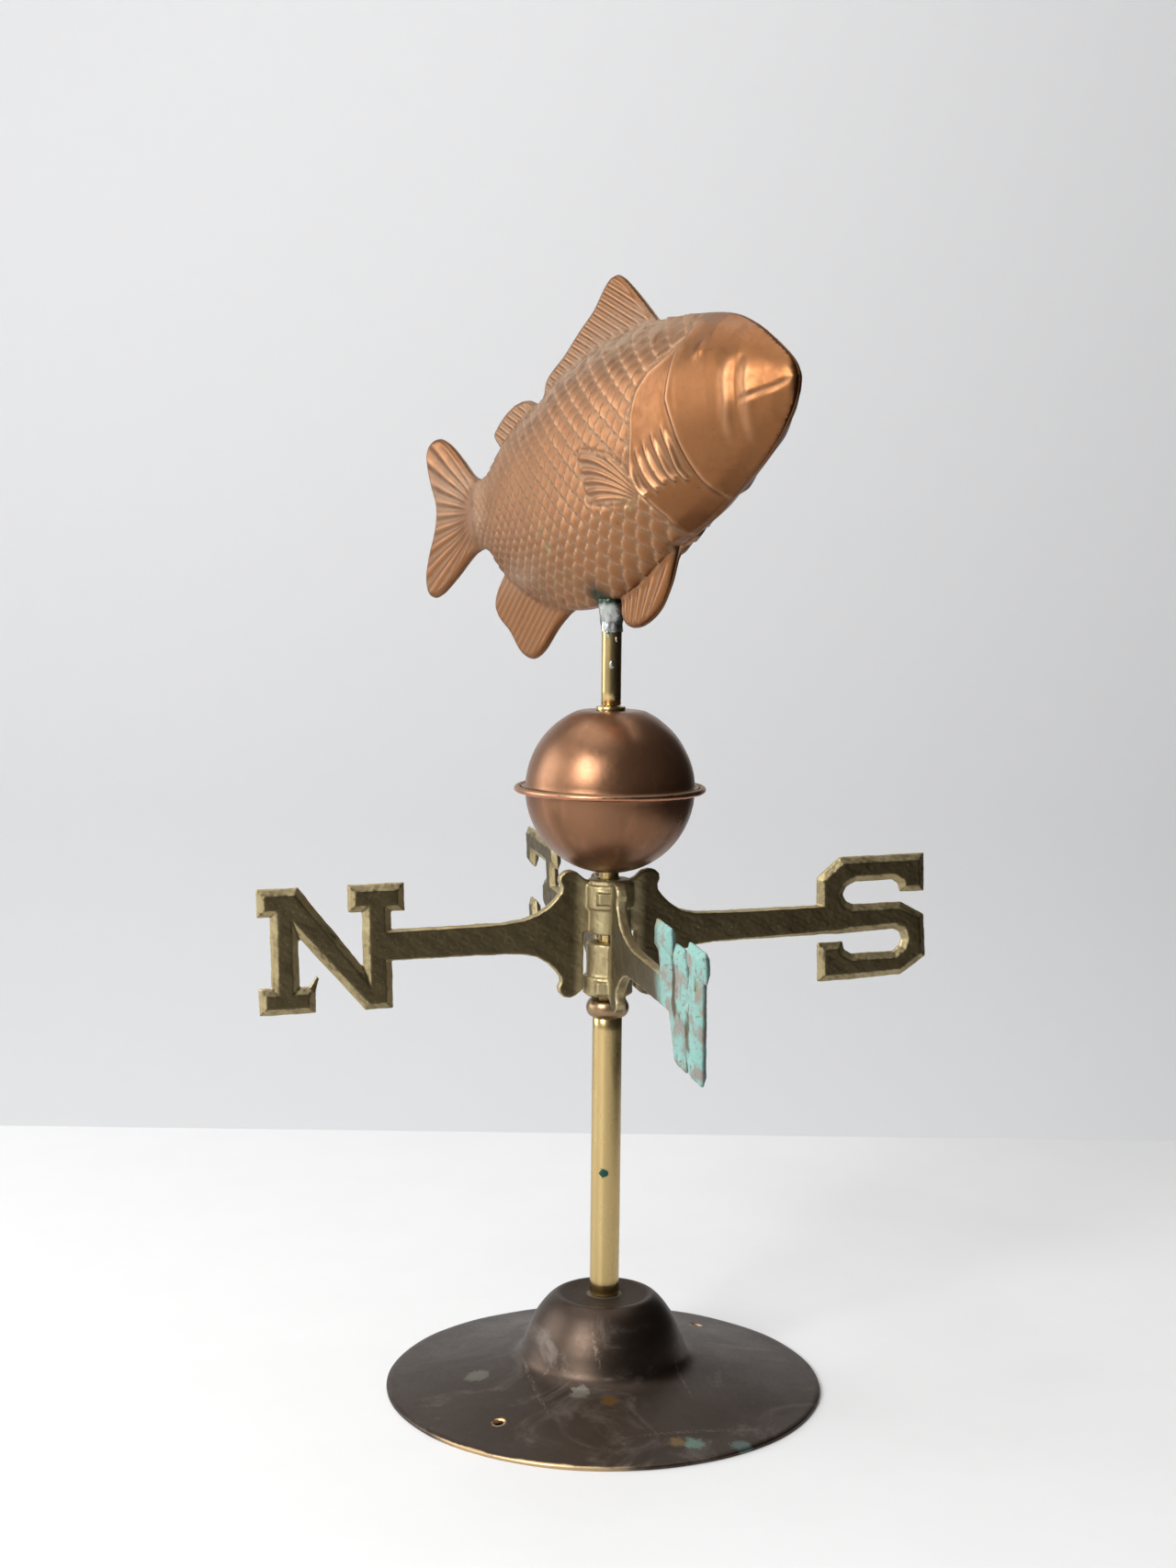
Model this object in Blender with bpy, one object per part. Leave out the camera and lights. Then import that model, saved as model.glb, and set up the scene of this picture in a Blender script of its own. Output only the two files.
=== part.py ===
"""Fish weather vane: a hollow copper fish that turns on a brass spindle, above a
copper globe and two brass castings with the compass letters, on a spun bronze foot.

Frame: origin at the centre of the foot's underside, +Z up the spindle,
+Y towards the letter N and +X towards the letter E.
Sizes are in millimetres; MM turns them into Blender's metres.
"""

import math

import bmesh
import bpy
import numpy as np
from mathutils import Matrix, Vector
from mathutils.geometry import delaunay_2d_cdt

MM = 0.001
GAP = 0.3  # clearance between pieces that touch on the real object

# Foot: a spun sheet dish with a raised crown
FOOT_RADIUS = 89.0
FOOT_SHEET = 1.5
FOOT_LAND = 4.5  # width of the flat ring that the foot stands on
CROWN_TOP = 38.0
SCREW_HOLE_RADIUS = 2.2
SCREW_HOLE_PITCH_RADIUS = 69.0
SCREW_HOLE_ANGLE = 128.7  # degrees from +X; the second hole is opposite

# Spindle: a stepped rod in a brass stem tube, clamped by a nut under the crown
ROD_RADIUS = 4.0
ROD_BORE = ROD_RADIUS + 0.4
PIVOT_ROD_RADIUS = 2.5
ROD_FOOT = 25.0
ROD_SHOULDER = 279.7
PIVOT_TOP = 391.0
STEM_RADIUS = 6.0
STEM_TOP = 153.7
BEAD_RADIUS = 8.7
BEAD_TOP = 161.2
NUT_ACROSS_FLATS = 13.0
NUT_HEIGHT = 6.5
WASHER_RADIUS = 11.0
WASHER_THICKNESS = 1.5

# Directionals: two castings whose barrels sit one above the other
NORTH_SOUTH_HEIGHT = 188.2  # middle of the arms at the spindle
EAST_WEST_HEIGHT = 184.4
NORTH_SOUTH_TILT = 1.3  # degrees by which the south arm rises
EAST_WEST_TILT = 2.3  # degrees by which the east arm rises
EAST_WEST_LEAN = 3.3  # degrees by which the tops of the E and W lean to the north
WEST_HEADING = 179.5  # degrees from +X: the west arm is a little off square
CASTING_THICKNESS = 4.5
LETTER_BEVEL = (3.0, 1.9)  # width on the face, depth through the thickness
ARM_BEVEL = (0.7, 0.6)
ARM_HALF_HEIGHT = 6.25
FORK_INNER = 10.7  # radius that clears the other casting's barrel
BARREL_RADIUS = 8.8
BARREL_LENGTH = 22.0
BAND_RADIUS = 10.0
SET_SCREW_RADIUS = 2.0
SET_SCREW_LENGTH = 5.0
SET_SCREW_ANGLE = -45.0

# Globe: two hemispheres with a bead round the joint
GLOBE_CENTRE = 246.6
GLOBE_RADIUS = 34.0
GLOBE_SHEET = 0.8
GLOBE_TOP = 278.0
GLOBE_BOTTOM = 213.2
RIM_LIP_RADIUS = 35.6
RIM_BEAD_CENTRE = 37.2
RIM_BEAD_RADIUS = 1.25
BUSH_RADIUS = 5.6
BUSH_FLANGE_RADIUS = 5.9
BUSH_FLANGE_TOP = 279.6
SLEEVE_RADIUS = 5.5

# Vane: fish, tube and pivot
VANE_TUBE_RADIUS = 4.0
VANE_TUBE_BORE = 2.8
VANE_TUBE_FOOT = 280.0
VANE_TUBE_TOP = 405.0
PIVOT_BALL_RADIUS = 2.2
SOLDER_BOTTOM = 311.5
SOLDER_TOP = 319.0
FISH_HEIGHT = 376.0
FISH_HEADING = -160.5  # degrees from +X
FISH_PITCH = 10.6  # degrees nose up
FISH_SHEET = 1.0
FIN_HALF_THICKNESS = 2.2
FIN_ROUNDING = 2.6
FISH_GRID = 7.2  # spacing of the points on each half's faces

ROUND_STEPS = 44
TUBE_STEPS = 20


# ---------------------------------------------------------------- shared helpers


def clear_scene():
    for obj in list(bpy.data.objects):
        bpy.data.objects.remove(obj, do_unlink=True)


def material(name, colour, roughness, metallic=1.0):
    made = bpy.data.materials.new(name)
    made.use_nodes = True
    shader = made.node_tree.nodes["Principled BSDF"]
    shader.inputs["Base Color"].default_value = (*colour, 1.0)
    shader.inputs["Roughness"].default_value = roughness
    shader.inputs["Metallic"].default_value = metallic
    return made


def empty(name, location=(0, 0, 0), parent=None):
    made = bpy.data.objects.new(name, None)
    made.location = [value * MM for value in location]
    made.parent = parent
    bpy.context.scene.collection.objects.link(made)
    return made


def solid(name, bm, finish, parent=None):
    """Turn a bmesh in millimetres into a smooth-shaded object with its faces pointing out."""
    bmesh.ops.recalc_face_normals(bm, faces=bm.faces)
    if bm.calc_volume(signed=True) < 0:
        bmesh.ops.reverse_faces(bm, faces=bm.faces)
    bmesh.ops.scale(bm, vec=(MM, MM, MM), verts=bm.verts)
    mesh = bpy.data.meshes.new(name)
    bm.to_mesh(mesh)
    bm.free()
    mesh.shade_smooth()
    mesh.set_sharp_from_angle(angle=math.radians(35))
    if finish:
        mesh.materials.append(finish)
    made = bpy.data.objects.new(name, mesh)
    made.parent = parent
    bpy.context.scene.collection.objects.link(made)
    return made


def helper_of(obj):
    """Keep a cutter or a piece of a union out of the finished assembly."""
    obj.hide_render = True
    obj.display_type = "WIRE"
    return obj


def boolean(obj, operation, other):
    modifier = obj.modifiers.new(f"{operation.lower()}_{other.name}", "BOOLEAN")
    modifier.operation = operation
    modifier.object = helper_of(other)


def turned(outline, steps):
    """Ring a closed (radius, height) outline round the Z axis; radius 0 is a pole."""
    bm = bmesh.new()
    rings = []
    for radius, height in outline:
        if radius == 0:
            rings.append([bm.verts.new((0, 0, height))] * steps)
            continue
        angles = (math.tau * step / steps for step in range(steps))
        rings.append([bm.verts.new((radius * math.cos(a), radius * math.sin(a), height)) for a in angles])
    for lower, upper in zip(rings, rings[1:] + rings[:1]):
        for step in range(steps):
            after = (step + 1) % steps
            corners = dict.fromkeys((lower[step], lower[after], upper[after], upper[step]))
            if len(corners) > 2:
                bm.faces.new(corners)
    return bm


def arc(centre, radius, start, end, steps):
    """Points in the (radius, height) plane, with angles in degrees from the outward direction."""
    angles = (math.radians(start + (end - start) * step / steps) for step in range(steps + 1))
    return [(centre[0] + radius * math.cos(a), centre[1] + radius * math.sin(a)) for a in angles]


def tube_outline(inner, outer, bottom, top, chamfer=0.3):
    return [
        (inner, bottom),
        (outer - chamfer, bottom),
        (outer, bottom + chamfer),
        (outer, top - chamfer),
        (outer - chamfer, top),
        (inner, top),
    ]


def rod_cutter(name, radius, start, end):
    """A plain round cutter between two points."""
    start, end = Vector(start), Vector(end)
    bm = bmesh.new()
    bmesh.ops.create_cone(
        bm, cap_ends=True, segments=TUBE_STEPS, radius1=radius, radius2=radius, depth=(end - start).length
    )
    turn = (end - start).to_track_quat("Z", "Y").to_matrix().to_4x4()
    bmesh.ops.transform(bm, matrix=Matrix.Translation((start + end) / 2) @ turn, verts=bm.verts)
    return solid(name, bm, None)


def polar(radius, degrees, height=0.0):
    angle = math.radians(degrees)
    return Vector((radius * math.cos(angle), radius * math.sin(angle), height))


# ---------------------------------------------------------------- foot and spindle


def offset_line(points, distance):
    """The open line moved sideways, to the left of its direction of travel."""
    moved = []
    for index, point in enumerate(points):
        before = Vector(points[max(index - 1, 0)])
        after = Vector(points[min(index + 1, len(points) - 1)])
        along = (after - before).normalized()
        moved.append((point[0] - along.y * distance, point[1] + along.x * distance))
    return moved


def foot_outline():
    """The dish's section: its upper skin from rim to centre, then back along its underside."""
    brim = [(88.6, 1.6), (76.0, 3.6), (60.0, 6.9), (46.0, 9.6), (38.5, 11.4)]
    crown_side = [(34.9, 13.9), (33.0, 18.0), (31.2, 23.0), (28.6, 28.5)]
    shoulder = [(24.8, 34.0), (21.6, 37.2), (19.4, 38.4), (17.2, CROWN_TOP)]
    skin = brim + crown_side + shoulder + [(ROD_BORE, CROWN_TOP)]
    underside = offset_line(skin, FOOT_SHEET)
    underside[-1] = (ROD_BORE, CROWN_TOP - FOOT_SHEET)
    underside = [point for point in underside if point[0] < FOOT_RADIUS - FOOT_LAND - 1]
    land = [(FOOT_RADIUS - FOOT_LAND, 0.0), (FOOT_RADIUS - 0.5, 0.0), (FOOT_RADIUS, 0.7)]
    return skin + underside[::-1] + land


def make_foot(finish):
    foot = solid("base_flange", turned(foot_outline(), ROUND_STEPS), finish)
    for number, angle in enumerate((SCREW_HOLE_ANGLE, SCREW_HOLE_ANGLE - 180)):
        low = polar(SCREW_HOLE_PITCH_RADIUS, angle, -2)
        high = polar(SCREW_HOLE_PITCH_RADIUS, angle, 12)
        boolean(foot, "DIFFERENCE", rod_cutter(f"screw_hole_{number}", SCREW_HOLE_RADIUS, low, high))


def make_rod_fastening(steel):
    """The washer and nut that pull the rod down inside the crown."""
    washer_top = CROWN_TOP - FOOT_SHEET - GAP
    washer_bottom = washer_top - WASHER_THICKNESS
    solid("rod_washer", turned(tube_outline(ROD_BORE, WASHER_RADIUS, washer_bottom, washer_top), 32), steel)
    nut_top = washer_bottom - GAP
    nut_bottom = nut_top - NUT_HEIGHT
    corner = NUT_ACROSS_FLATS / math.sqrt(3)
    chamfered = [
        (0, nut_bottom),
        (corner - 0.8, nut_bottom),
        (corner, nut_bottom + 0.6),
        (corner, nut_top - 0.6),
        (corner - 0.8, nut_top),
        (0, nut_top),
    ]
    nut = solid("rod_nut", turned(chamfered, 6), steel)
    bore = rod_cutter("rod_nut_bore", ROD_BORE, (0, 0, nut_bottom - 1), (0, 0, nut_top + 1))
    boolean(nut, "DIFFERENCE", bore)


def make_spindle(brass, dark_brass):
    rod = [
        (0, ROD_FOOT),
        (ROD_RADIUS - 0.7, ROD_FOOT),
        (ROD_RADIUS, ROD_FOOT + 0.7),
        (ROD_RADIUS, ROD_SHOULDER),
        (PIVOT_ROD_RADIUS, ROD_SHOULDER),
        (PIVOT_ROD_RADIUS, PIVOT_TOP - 0.8),
        (PIVOT_ROD_RADIUS - 0.8, PIVOT_TOP),
        (0, PIVOT_TOP),
    ]
    solid("centre_rod", turned(rod, TUBE_STEPS), brass)
    stem = tube_outline(ROD_BORE, STEM_RADIUS, CROWN_TOP + GAP, STEM_TOP)
    solid("stem_tube", turned(stem, 32), brass)
    bead_bottom = STEM_TOP + GAP
    half = (BEAD_TOP - bead_bottom) / 2
    bulge = [
        (BEAD_RADIUS - 2.4 * (1 - math.cos(angle)), bead_bottom + half * (1 + math.sin(angle)))
        for angle in (math.radians(degrees) for degrees in range(-90, 91, 30))
    ]
    solid("bead_collar", turned([(ROD_BORE, bead_bottom)] + bulge + [(ROD_BORE, BEAD_TOP)], 28), dark_brass)


# ---------------------------------------------------------------- directionals

# Letter outlines as (distance from the spindle, height from the arm's middle). Each starts
# where the arm's top edge reaches the letter and ends at the arm's bottom edge.
LETTER_N = [
    (88.4, 6.25), (88.4, 13.4), (83.0, 13.4), (83.0, 24.8), (105.5, 24.8), (105.5, 13.8),
    (100.0, 13.8), (100.0, -8.0), (124.8, 24.8), (141.0, 24.8), (141.0, 13.6), (136.0, 13.6),
    (136.0, -14.5), (141.0, -14.5), (141.0, -25.2), (118.8, -25.2), (118.8, -14.5),
    (125.0, -14.5), (125.0, 5.0), (99.4, -25.2), (88.4, -25.2), (88.4, -6.25),
]  # fmt: skip
LETTER_S = [
    (89.4, 6.25), (89.4, 17.5), (99.5, 25.9), (137.0, 25.9), (137.0, 9.8), (126.2, 9.8),
    (125.4, 13.4), (122.8, 15.1), (106.4, 15.1), (102.2, 13.1), (100.9, 10.2), (102.2, 7.2),
    (105.0, 5.8), (126.5, 5.8), (137.0, 0.0), (137.8, -17.8), (126.5, -25.2), (100.4, -26.0),
    (89.6, -26.0), (89.6, -9.6), (100.6, -9.6), (101.6, -13.2), (104.6, -14.9),
    (123.2, -14.9), (126.0, -12.8), (127.0, -9.8), (126.0, -7.0), (123.2, -5.6),
    (104.0, -6.25), (96.0, -6.25),
]  # fmt: skip
LETTER_E = [
    (86.5, 6.25), (86.5, 14.4), (81.0, 14.4), (81.0, 25.2), (134.0, 25.2), (134.0, 8.0),
    (124.0, 8.0), (122.4, 14.4), (97.0, 14.4), (97.0, 8.6), (105.3, 5.4), (105.3, -5.4),
    (97.0, -8.6), (97.0, -14.4), (122.4, -14.4), (124.0, -8.0), (134.0, -8.0),
    (134.0, -25.2), (81.0, -25.2), (81.0, -14.4), (86.5, -14.4), (86.5, -6.25),
]  # fmt: skip
LETTER_W = [
    (80.6, 6.25), (78.4, 13.5), (74.2, 13.5), (74.2, 25.2), (93.0, 25.2), (93.0, 14.6),
    (91.4, 14.6), (93.4, 3.0), (94.8, 3.0), (98.8, 21.0), (109.4, 21.0), (113.6, 3.0),
    (115.0, 3.0), (117.0, 14.6), (115.4, 14.6), (115.4, 25.2), (134.2, 25.2),
    (134.2, 13.5), (130.2, 13.5), (125.6, -25.2), (113.8, -25.2), (109.4, -9.0),
    (107.8, -9.0), (106.6, -25.2), (96.4, -25.2), (90.2, -6.25),
]  # fmt: skip
# The fork's outer edge, from the arm up to the tip beside the barrel.
FORK_EDGE = [
    (44.5, ARM_HALF_HEIGHT), (36.0, 6.9), (30.0, 8.6), (25.5, 11.4), (22.2, 14.6), (20.2, 17.2),
    (20.0, 19.4), (21.0, 21.6), (20.6, 23.8), (18.8, 25.5), (16.2, 26.0), (13.6, 25.0),
]  # fmt: skip


def mirrored(points):
    return [(radius, -height) for radius, height in reversed(points)]


def side_outline(letter, barrel_side):
    """One arm with its fork and letter; barrel_side is 1 where the barrel is in the upper half."""
    tip = (FORK_INNER, 22.4)
    joined = [(6.2, 20.6), (6.2, 0.6), (FORK_INNER, 0.6)]
    upper = [tip] + joined if barrel_side > 0 else [tip]
    lower = [(FORK_INNER, -22.4)] if barrel_side > 0 else mirrored([tip] + joined)
    return lower + mirrored(FORK_EDGE) + letter[::-1] + FORK_EDGE + upper


def inset(points, widths):
    """The outline moved inwards, edge by edge, each edge by its own width."""
    count = len(points)
    corners = [Vector(point) for point in points]
    area = sum(corners[i - 1].cross(corners[i]) for i in range(count))
    side = 1.0 if area > 0 else -1.0
    moved = []
    for index in range(count):
        before, here, after = corners[index - 1], corners[index], corners[(index + 1) % count]
        first, second = (here - before).normalized(), (after - here).normalized()
        first_normal = side * Vector((-first.y, first.x))
        second_normal = side * Vector((-second.y, second.x))
        first_width, second_width = widths[index - 1], widths[index]
        turn = first.cross(second)
        if abs(turn) < 0.05:
            width = (first_width + second_width) / 2
            moved.append(here + width * (first_normal + second_normal).normalized())
            continue
        start = here + first_normal * first_width
        other = here + second_normal * second_width
        moved.append(start + first * ((other - start).cross(second) / turn))
    return moved


def bevelled_plate(outline, letter_from):
    """Extrude the outline about its middle plane, with wide bevels on the letter's edges."""
    count = len(outline)
    widths, depths = [], []
    for index in range(count):
        on_letter = min(outline[index][0], outline[(index + 1) % count][0]) > letter_from
        width, depth = LETTER_BEVEL if on_letter else ARM_BEVEL
        widths.append(width)
        depths.append(depth)
    half = CASTING_THICKNESS / 2
    face = inset(outline, widths)
    edge_level = [half - min(depths[index - 1], depths[index]) for index in range(count)]
    edge_level = [min(level, half - depths[index]) for index, level in enumerate(edge_level)]
    bm = bmesh.new()
    rings = []
    for side in (1, -1):
        rim = [bm.verts.new((r, side * level, h)) for (r, h), level in zip(outline, edge_level)]
        flat = [bm.verts.new((corner.x, side * half, corner.y)) for corner in face]
        rings.append((rim, flat))
    (rim, flat), (back_rim, back_flat) = rings
    for first, second in ((rim, flat), (rim, back_rim), (back_rim, back_flat)):
        for index in range(count):
            after = (index + 1) % count
            bm.faces.new((first[index], first[after], second[after], second[index]))
    for loop in (flat, back_flat):
        bm.faces.new(loop)
    bm.normal_update()
    bmesh.ops.triangulate(bm, faces=bm.faces)
    return bm


def distort(bm, rise, lean):
    """Swing and twist everything outside the fork, as a sand casting is a little out of true."""
    near, far = FORK_EDGE[4][0], FORK_EDGE[0][0]
    for vert in bm.verts:
        share = min(max((vert.co.x - near) / (far - near), 0.0), 1.0)
        angle = math.radians(rise) * share
        x, z = vert.co.x, vert.co.z
        vert.co.y += z * math.tan(math.radians(lean)) * share
        vert.co.x = x * math.cos(angle) - z * math.sin(angle)
        vert.co.z = z * math.cos(angle) + x * math.sin(angle)


def casting_side(name, letter, barrel_side, direction, height, rise, lean):
    bm = bevelled_plate(side_outline(letter, barrel_side), letter_from=72.0)
    distort(bm, rise, lean)
    turn = Matrix.Rotation(math.radians(direction), 4, "Z")
    bmesh.ops.transform(bm, matrix=Matrix.Translation((0, 0, height)) @ turn, verts=bm.verts)
    return solid(name, bm, None)


def barrel_outline(height, barrel_side, band):
    """The hub's section: a sleeve with a raised band, from the casting's middle outwards."""
    start, low, high, end = 0.0, band[0], band[1], BARREL_LENGTH
    section = [
        (ROD_BORE, start),
        (BARREL_RADIUS - 0.6, start),
        (BARREL_RADIUS, start + 0.6),
        (BARREL_RADIUS, low - 0.8),
        (BAND_RADIUS, low),
        (BAND_RADIUS, high),
        (BARREL_RADIUS, high + 0.8),
        (BARREL_RADIUS, end - 0.8),
        (BARREL_RADIUS - 0.8, end),
        (ROD_BORE, end),
    ]
    return [(radius, height + barrel_side * level) for radius, level in section]


def make_casting(name, arms, height, barrel_side, band, rise, lean, finish, parent):
    """A hub barrel with a lettered arm on each side and a tapped hole for its set screw."""
    hub = solid(name, turned(barrel_outline(height, barrel_side, band), TUBE_STEPS), finish, parent)
    for index, (letter, direction) in enumerate(arms):
        way = 1 if index else -1
        arm_name = f"{name}_arm_{index}"
        side = casting_side(arm_name, letter, barrel_side, direction, height, way * rise, way * lean)
        boolean(hub, "UNION", side)
    screw_height = height + barrel_side * sum(band) / 2
    inner = polar(ROD_RADIUS - 1, SET_SCREW_ANGLE, screw_height)
    outer = polar(BAND_RADIUS + 3, SET_SCREW_ANGLE, screw_height)
    boolean(hub, "DIFFERENCE", rod_cutter(f"{name}_tapping", SET_SCREW_RADIUS + GAP, inner, outer))
    return screw_height


def make_set_screw(name, height, finish, parent):
    """A cup-point grub screw with a socket in its outer end, lying along its radius."""
    socket = 1.1
    section = [
        (0, 0),
        (SET_SCREW_RADIUS - 0.6, 0),
        (SET_SCREW_RADIUS, 0.6),
        (SET_SCREW_RADIUS, SET_SCREW_LENGTH - 0.4),
        (SET_SCREW_RADIUS - 0.4, SET_SCREW_LENGTH),
        (socket, SET_SCREW_LENGTH),
        (socket, SET_SCREW_LENGTH - 1.8),
        (0, SET_SCREW_LENGTH - 1.8),
    ]
    screw = solid(name, turned(section, 12), finish, parent)
    outward = polar(1, SET_SCREW_ANGLE)
    screw.location = (outward * (ROD_RADIUS + GAP) + Vector((0, 0, height))) * MM
    screw.rotation_mode = "QUATERNION"
    screw.rotation_quaternion = outward.to_track_quat("Z", "Y")


# ---------------------------------------------------------------- globe


def flat_end_angle(radius, level):
    """Elevation in degrees at which a sphere of this radius reaches the level."""
    return math.degrees(math.asin((level - GLOBE_CENTRE) / radius))


def make_globe(copper, brass):
    inner_radius = GLOBE_RADIUS - GLOBE_SHEET
    seam = GLOBE_CENTRE
    centre = (0.0, GLOBE_CENTRE)
    top_lip = seam + 0.2
    hole = BUSH_RADIUS + GAP
    upper = [(RIM_LIP_RADIUS, top_lip), (RIM_LIP_RADIUS, top_lip + GLOBE_SHEET)]
    lip_angle = math.degrees(math.asin((0.2 + GLOBE_SHEET) / GLOBE_RADIUS))
    upper += arc(centre, GLOBE_RADIUS, lip_angle, flat_end_angle(GLOBE_RADIUS, GLOBE_TOP), 8)
    upper += [(hole, GLOBE_TOP), (hole, GLOBE_TOP - GLOBE_SHEET)]
    upper += arc(centre, inner_radius, flat_end_angle(inner_radius, GLOBE_TOP - GLOBE_SHEET), 0.4, 7)
    solid("globe_upper_half", turned(upper, ROUND_STEPS), copper)

    low_lip = seam - 0.2
    lower = [(RIM_LIP_RADIUS, low_lip), (RIM_LIP_RADIUS, low_lip - GLOBE_SHEET)]
    lower += arc(centre, GLOBE_RADIUS, -lip_angle, flat_end_angle(GLOBE_RADIUS, GLOBE_BOTTOM), 8)
    lower += [(ROD_BORE, GLOBE_BOTTOM), (ROD_BORE, GLOBE_BOTTOM + GLOBE_SHEET)]
    lower += arc(centre, inner_radius, flat_end_angle(inner_radius, GLOBE_BOTTOM + GLOBE_SHEET), -0.4, 7)
    solid("globe_lower_half", turned(lower, ROUND_STEPS), copper)

    bead = arc((RIM_BEAD_CENTRE, seam), RIM_BEAD_RADIUS, 0, 315, 7)
    solid("globe_rim_bead", turned(bead, ROUND_STEPS), copper)

    bush_bottom = GLOBE_TOP - 4.5
    flange_bottom = GLOBE_TOP + GAP
    bush = [
        (ROD_BORE, bush_bottom),
        (BUSH_RADIUS, bush_bottom),
        (BUSH_RADIUS, flange_bottom),
        (BUSH_FLANGE_RADIUS, flange_bottom),
        (BUSH_FLANGE_RADIUS, BUSH_FLANGE_TOP - 0.3),
        (BUSH_FLANGE_RADIUS - 0.3, BUSH_FLANGE_TOP),
        (ROD_BORE, BUSH_FLANGE_TOP),
    ]
    solid("globe_top_bush", turned(bush, 32), brass)
    sleeve_bottom = GLOBE_BOTTOM + GLOBE_SHEET + GAP
    sleeve = tube_outline(ROD_BORE, SLEEVE_RADIUS, sleeve_bottom, bush_bottom - GAP)
    solid("globe_spacer_sleeve", turned(sleeve, TUBE_STEPS), brass)


# ---------------------------------------------------------------- fish

# The fish in its own level frame: (along, up), with the nose at +. Each stretch is a smooth
# curve through its points, and a stretch starts at the corner where the last one ended.
FISH_STRETCHES = [
    # dorsal fin
    [(38.5, 46.4), (27.2, 60.0), (18.5, 69.0), (13.0, 71.2), (7.0, 68.6), (-2.0, 61.8),
     (-12.0, 56.8), (-25.0, 49.6), (-36.5, 44.8), (-41.2, 40.8), (-43.5, 34.0)],
    # second dorsal fin
    [(-43.5, 34.0), (-49.0, 35.0), (-55.3, 37.8), (-63.0, 38.6), (-72.0, 36.4), (-80.2, 32.2),
     (-83.2, 28.4), (-78.6, 22.0)],
    # tail stalk and tail
    [(-78.6, 22.0), (-88.0, 14.8), (-97.0, 13.0)],
    [(-97.0, 13.0), (-104.5, 17.0), (-112.3, 25.4), (-121.0, 33.6), (-129.0, 38.0),
     (-136.4, 37.4), (-140.6, 32.0), (-139.7, 20.4), (-136.4, 8.6), (-139.2, -1.0),
     (-147.0, -12.6), (-150.6, -22.0), (-148.6, -29.0), (-141.0, -30.4), (-126.0, -25.0),
     (-110.0, -17.8), (-98.6, -16.4)],
    [(-98.6, -16.4), (-90.4, -21.8), (-84.7, -29.6)],
    # anal fin
    [(-84.7, -29.6), (-91.6, -35.8), (-94.6, -42.0), (-92.0, -48.2), (-85.0, -55.0),
     (-78.6, -64.0), (-71.0, -68.4), (-62.5, -66.6), (-50.0, -58.6), (-38.0, -52.9)],
    # belly
    [(-38.0, -52.9), (-28.0, -54.4), (-15.0, -54.8), (-1.4, -54.0)],
    # pelvic fin
    [(-1.4, -54.0), (-2.8, -60.2), (0.6, -65.4), (7.0, -66.8), (14.0, -65.6), (22.0, -61.6),
     (29.5, -53.8), (34.0, -46.6), (37.6, -40.2)],
    # throat, chin and lower lip
    [(37.6, -40.2), (47.0, -37.6), (61.0, -33.6), (81.5, -24.6), (95.0, -17.6),
     (106.0, -9.4), (113.2, -1.4), (116.2, 6.4)],
    # snout, forehead and nape
    [(116.2, 6.4), (113.6, 13.4), (106.0, 21.6), (96.0, 30.4), (83.0, 37.6), (62.0, 43.0),
     (38.5, 46.4)],
]  # fmt: skip
BACK_LINE = [
    (-108.0, 12.0), (-97.0, 12.6), (-88.0, 14.8), (-78.6, 21.4), (-62.0, 28.5), (-43.5, 34.2),
    (-25.0, 40.0), (-5.0, 44.0), (15.0, 46.0), (38.5, 46.0), (62.0, 43.0), (83.0, 37.6),
    (96.0, 30.4), (106.0, 21.6), (113.6, 13.4), (116.4, 8.0),
]  # fmt: skip
BELLY_LINE = [
    (-108.0, -15.0), (-98.6, -16.2), (-90.4, -21.8), (-84.7, -29.0), (-70.0, -39.0),
    (-54.0, -47.5), (-38.0, -52.6), (-20.0, -54.8), (-1.4, -54.0), (14.0, -50.2), (28.0, -44.5),
    (47.0, -37.8), (61.0, -33.6), (81.5, -24.6), (95.0, -17.6), (106.0, -9.4), (113.2, -1.4),
    (116.4, 5.0),
]  # fmt: skip
HALF_WIDTHS = [
    (-122.0, 0.0), (-112.0, 2.4), (-100.0, 3.9), (-90.0, 5.4), (-70.0, 8.8), (-45.0, 13.0),
    (-15.0, 17.2), (15.0, 19.8), (38.0, 20.8), (55.0, 20.6), (70.0, 19.2), (84.0, 16.2),
    (96.0, 12.0), (106.0, 7.2), (113.0, 2.8), (116.4, 0.6),
]  # fmt: skip


def smooth_stretch(points, steps=2):
    """Catmull-Rom curve through the points, without its last one."""
    padded = [points[0]] + points + [points[-1]]
    curve = []
    for p0, p1, p2, p3 in zip(padded, padded[1:], padded[2:], padded[3:]):
        p0, p1, p2, p3 = (np.array(p) for p in (p0, p1, p2, p3))
        for step in range(steps):
            t = step / steps
            straight = 2 * p1 + (p2 - p0) * t
            bend = (2 * p0 - 5 * p1 + 4 * p2 - p3) * t**2 + (3 * p1 - p0 - 3 * p2 + p3) * t**3
            curve.append(tuple((straight + bend) / 2))
    return curve


def edge_distance(points, outline):
    """Distance from each point to the closed outline, and whether the point is inside it."""
    start = np.array(outline)
    end = np.roll(start, -1, axis=0)
    along = end - start
    offset = points[:, None, :] - start[None, :, :]
    share = np.clip((offset * along).sum(2) / (along * along).sum(1), 0, 1)
    nearest = offset - share[:, :, None] * along
    crosses = (start[:, 1] > points[:, 1:2]) != (end[:, 1] > points[:, 1:2])
    rise = np.where(along[:, 1] == 0, 1e-9, along[:, 1])
    crossing = start[:, 0] + (points[:, 1:2] - start[:, 1]) * along[:, 0] / rise
    inside = (crosses & (points[:, 0:1] < crossing)).sum(1) % 2 == 1
    return np.sqrt((nearest**2).sum(2)).min(1), inside


def line_height(line, along):
    stations = np.array(line)
    return np.interp(along, stations[:, 0], stations[:, 1])


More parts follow.
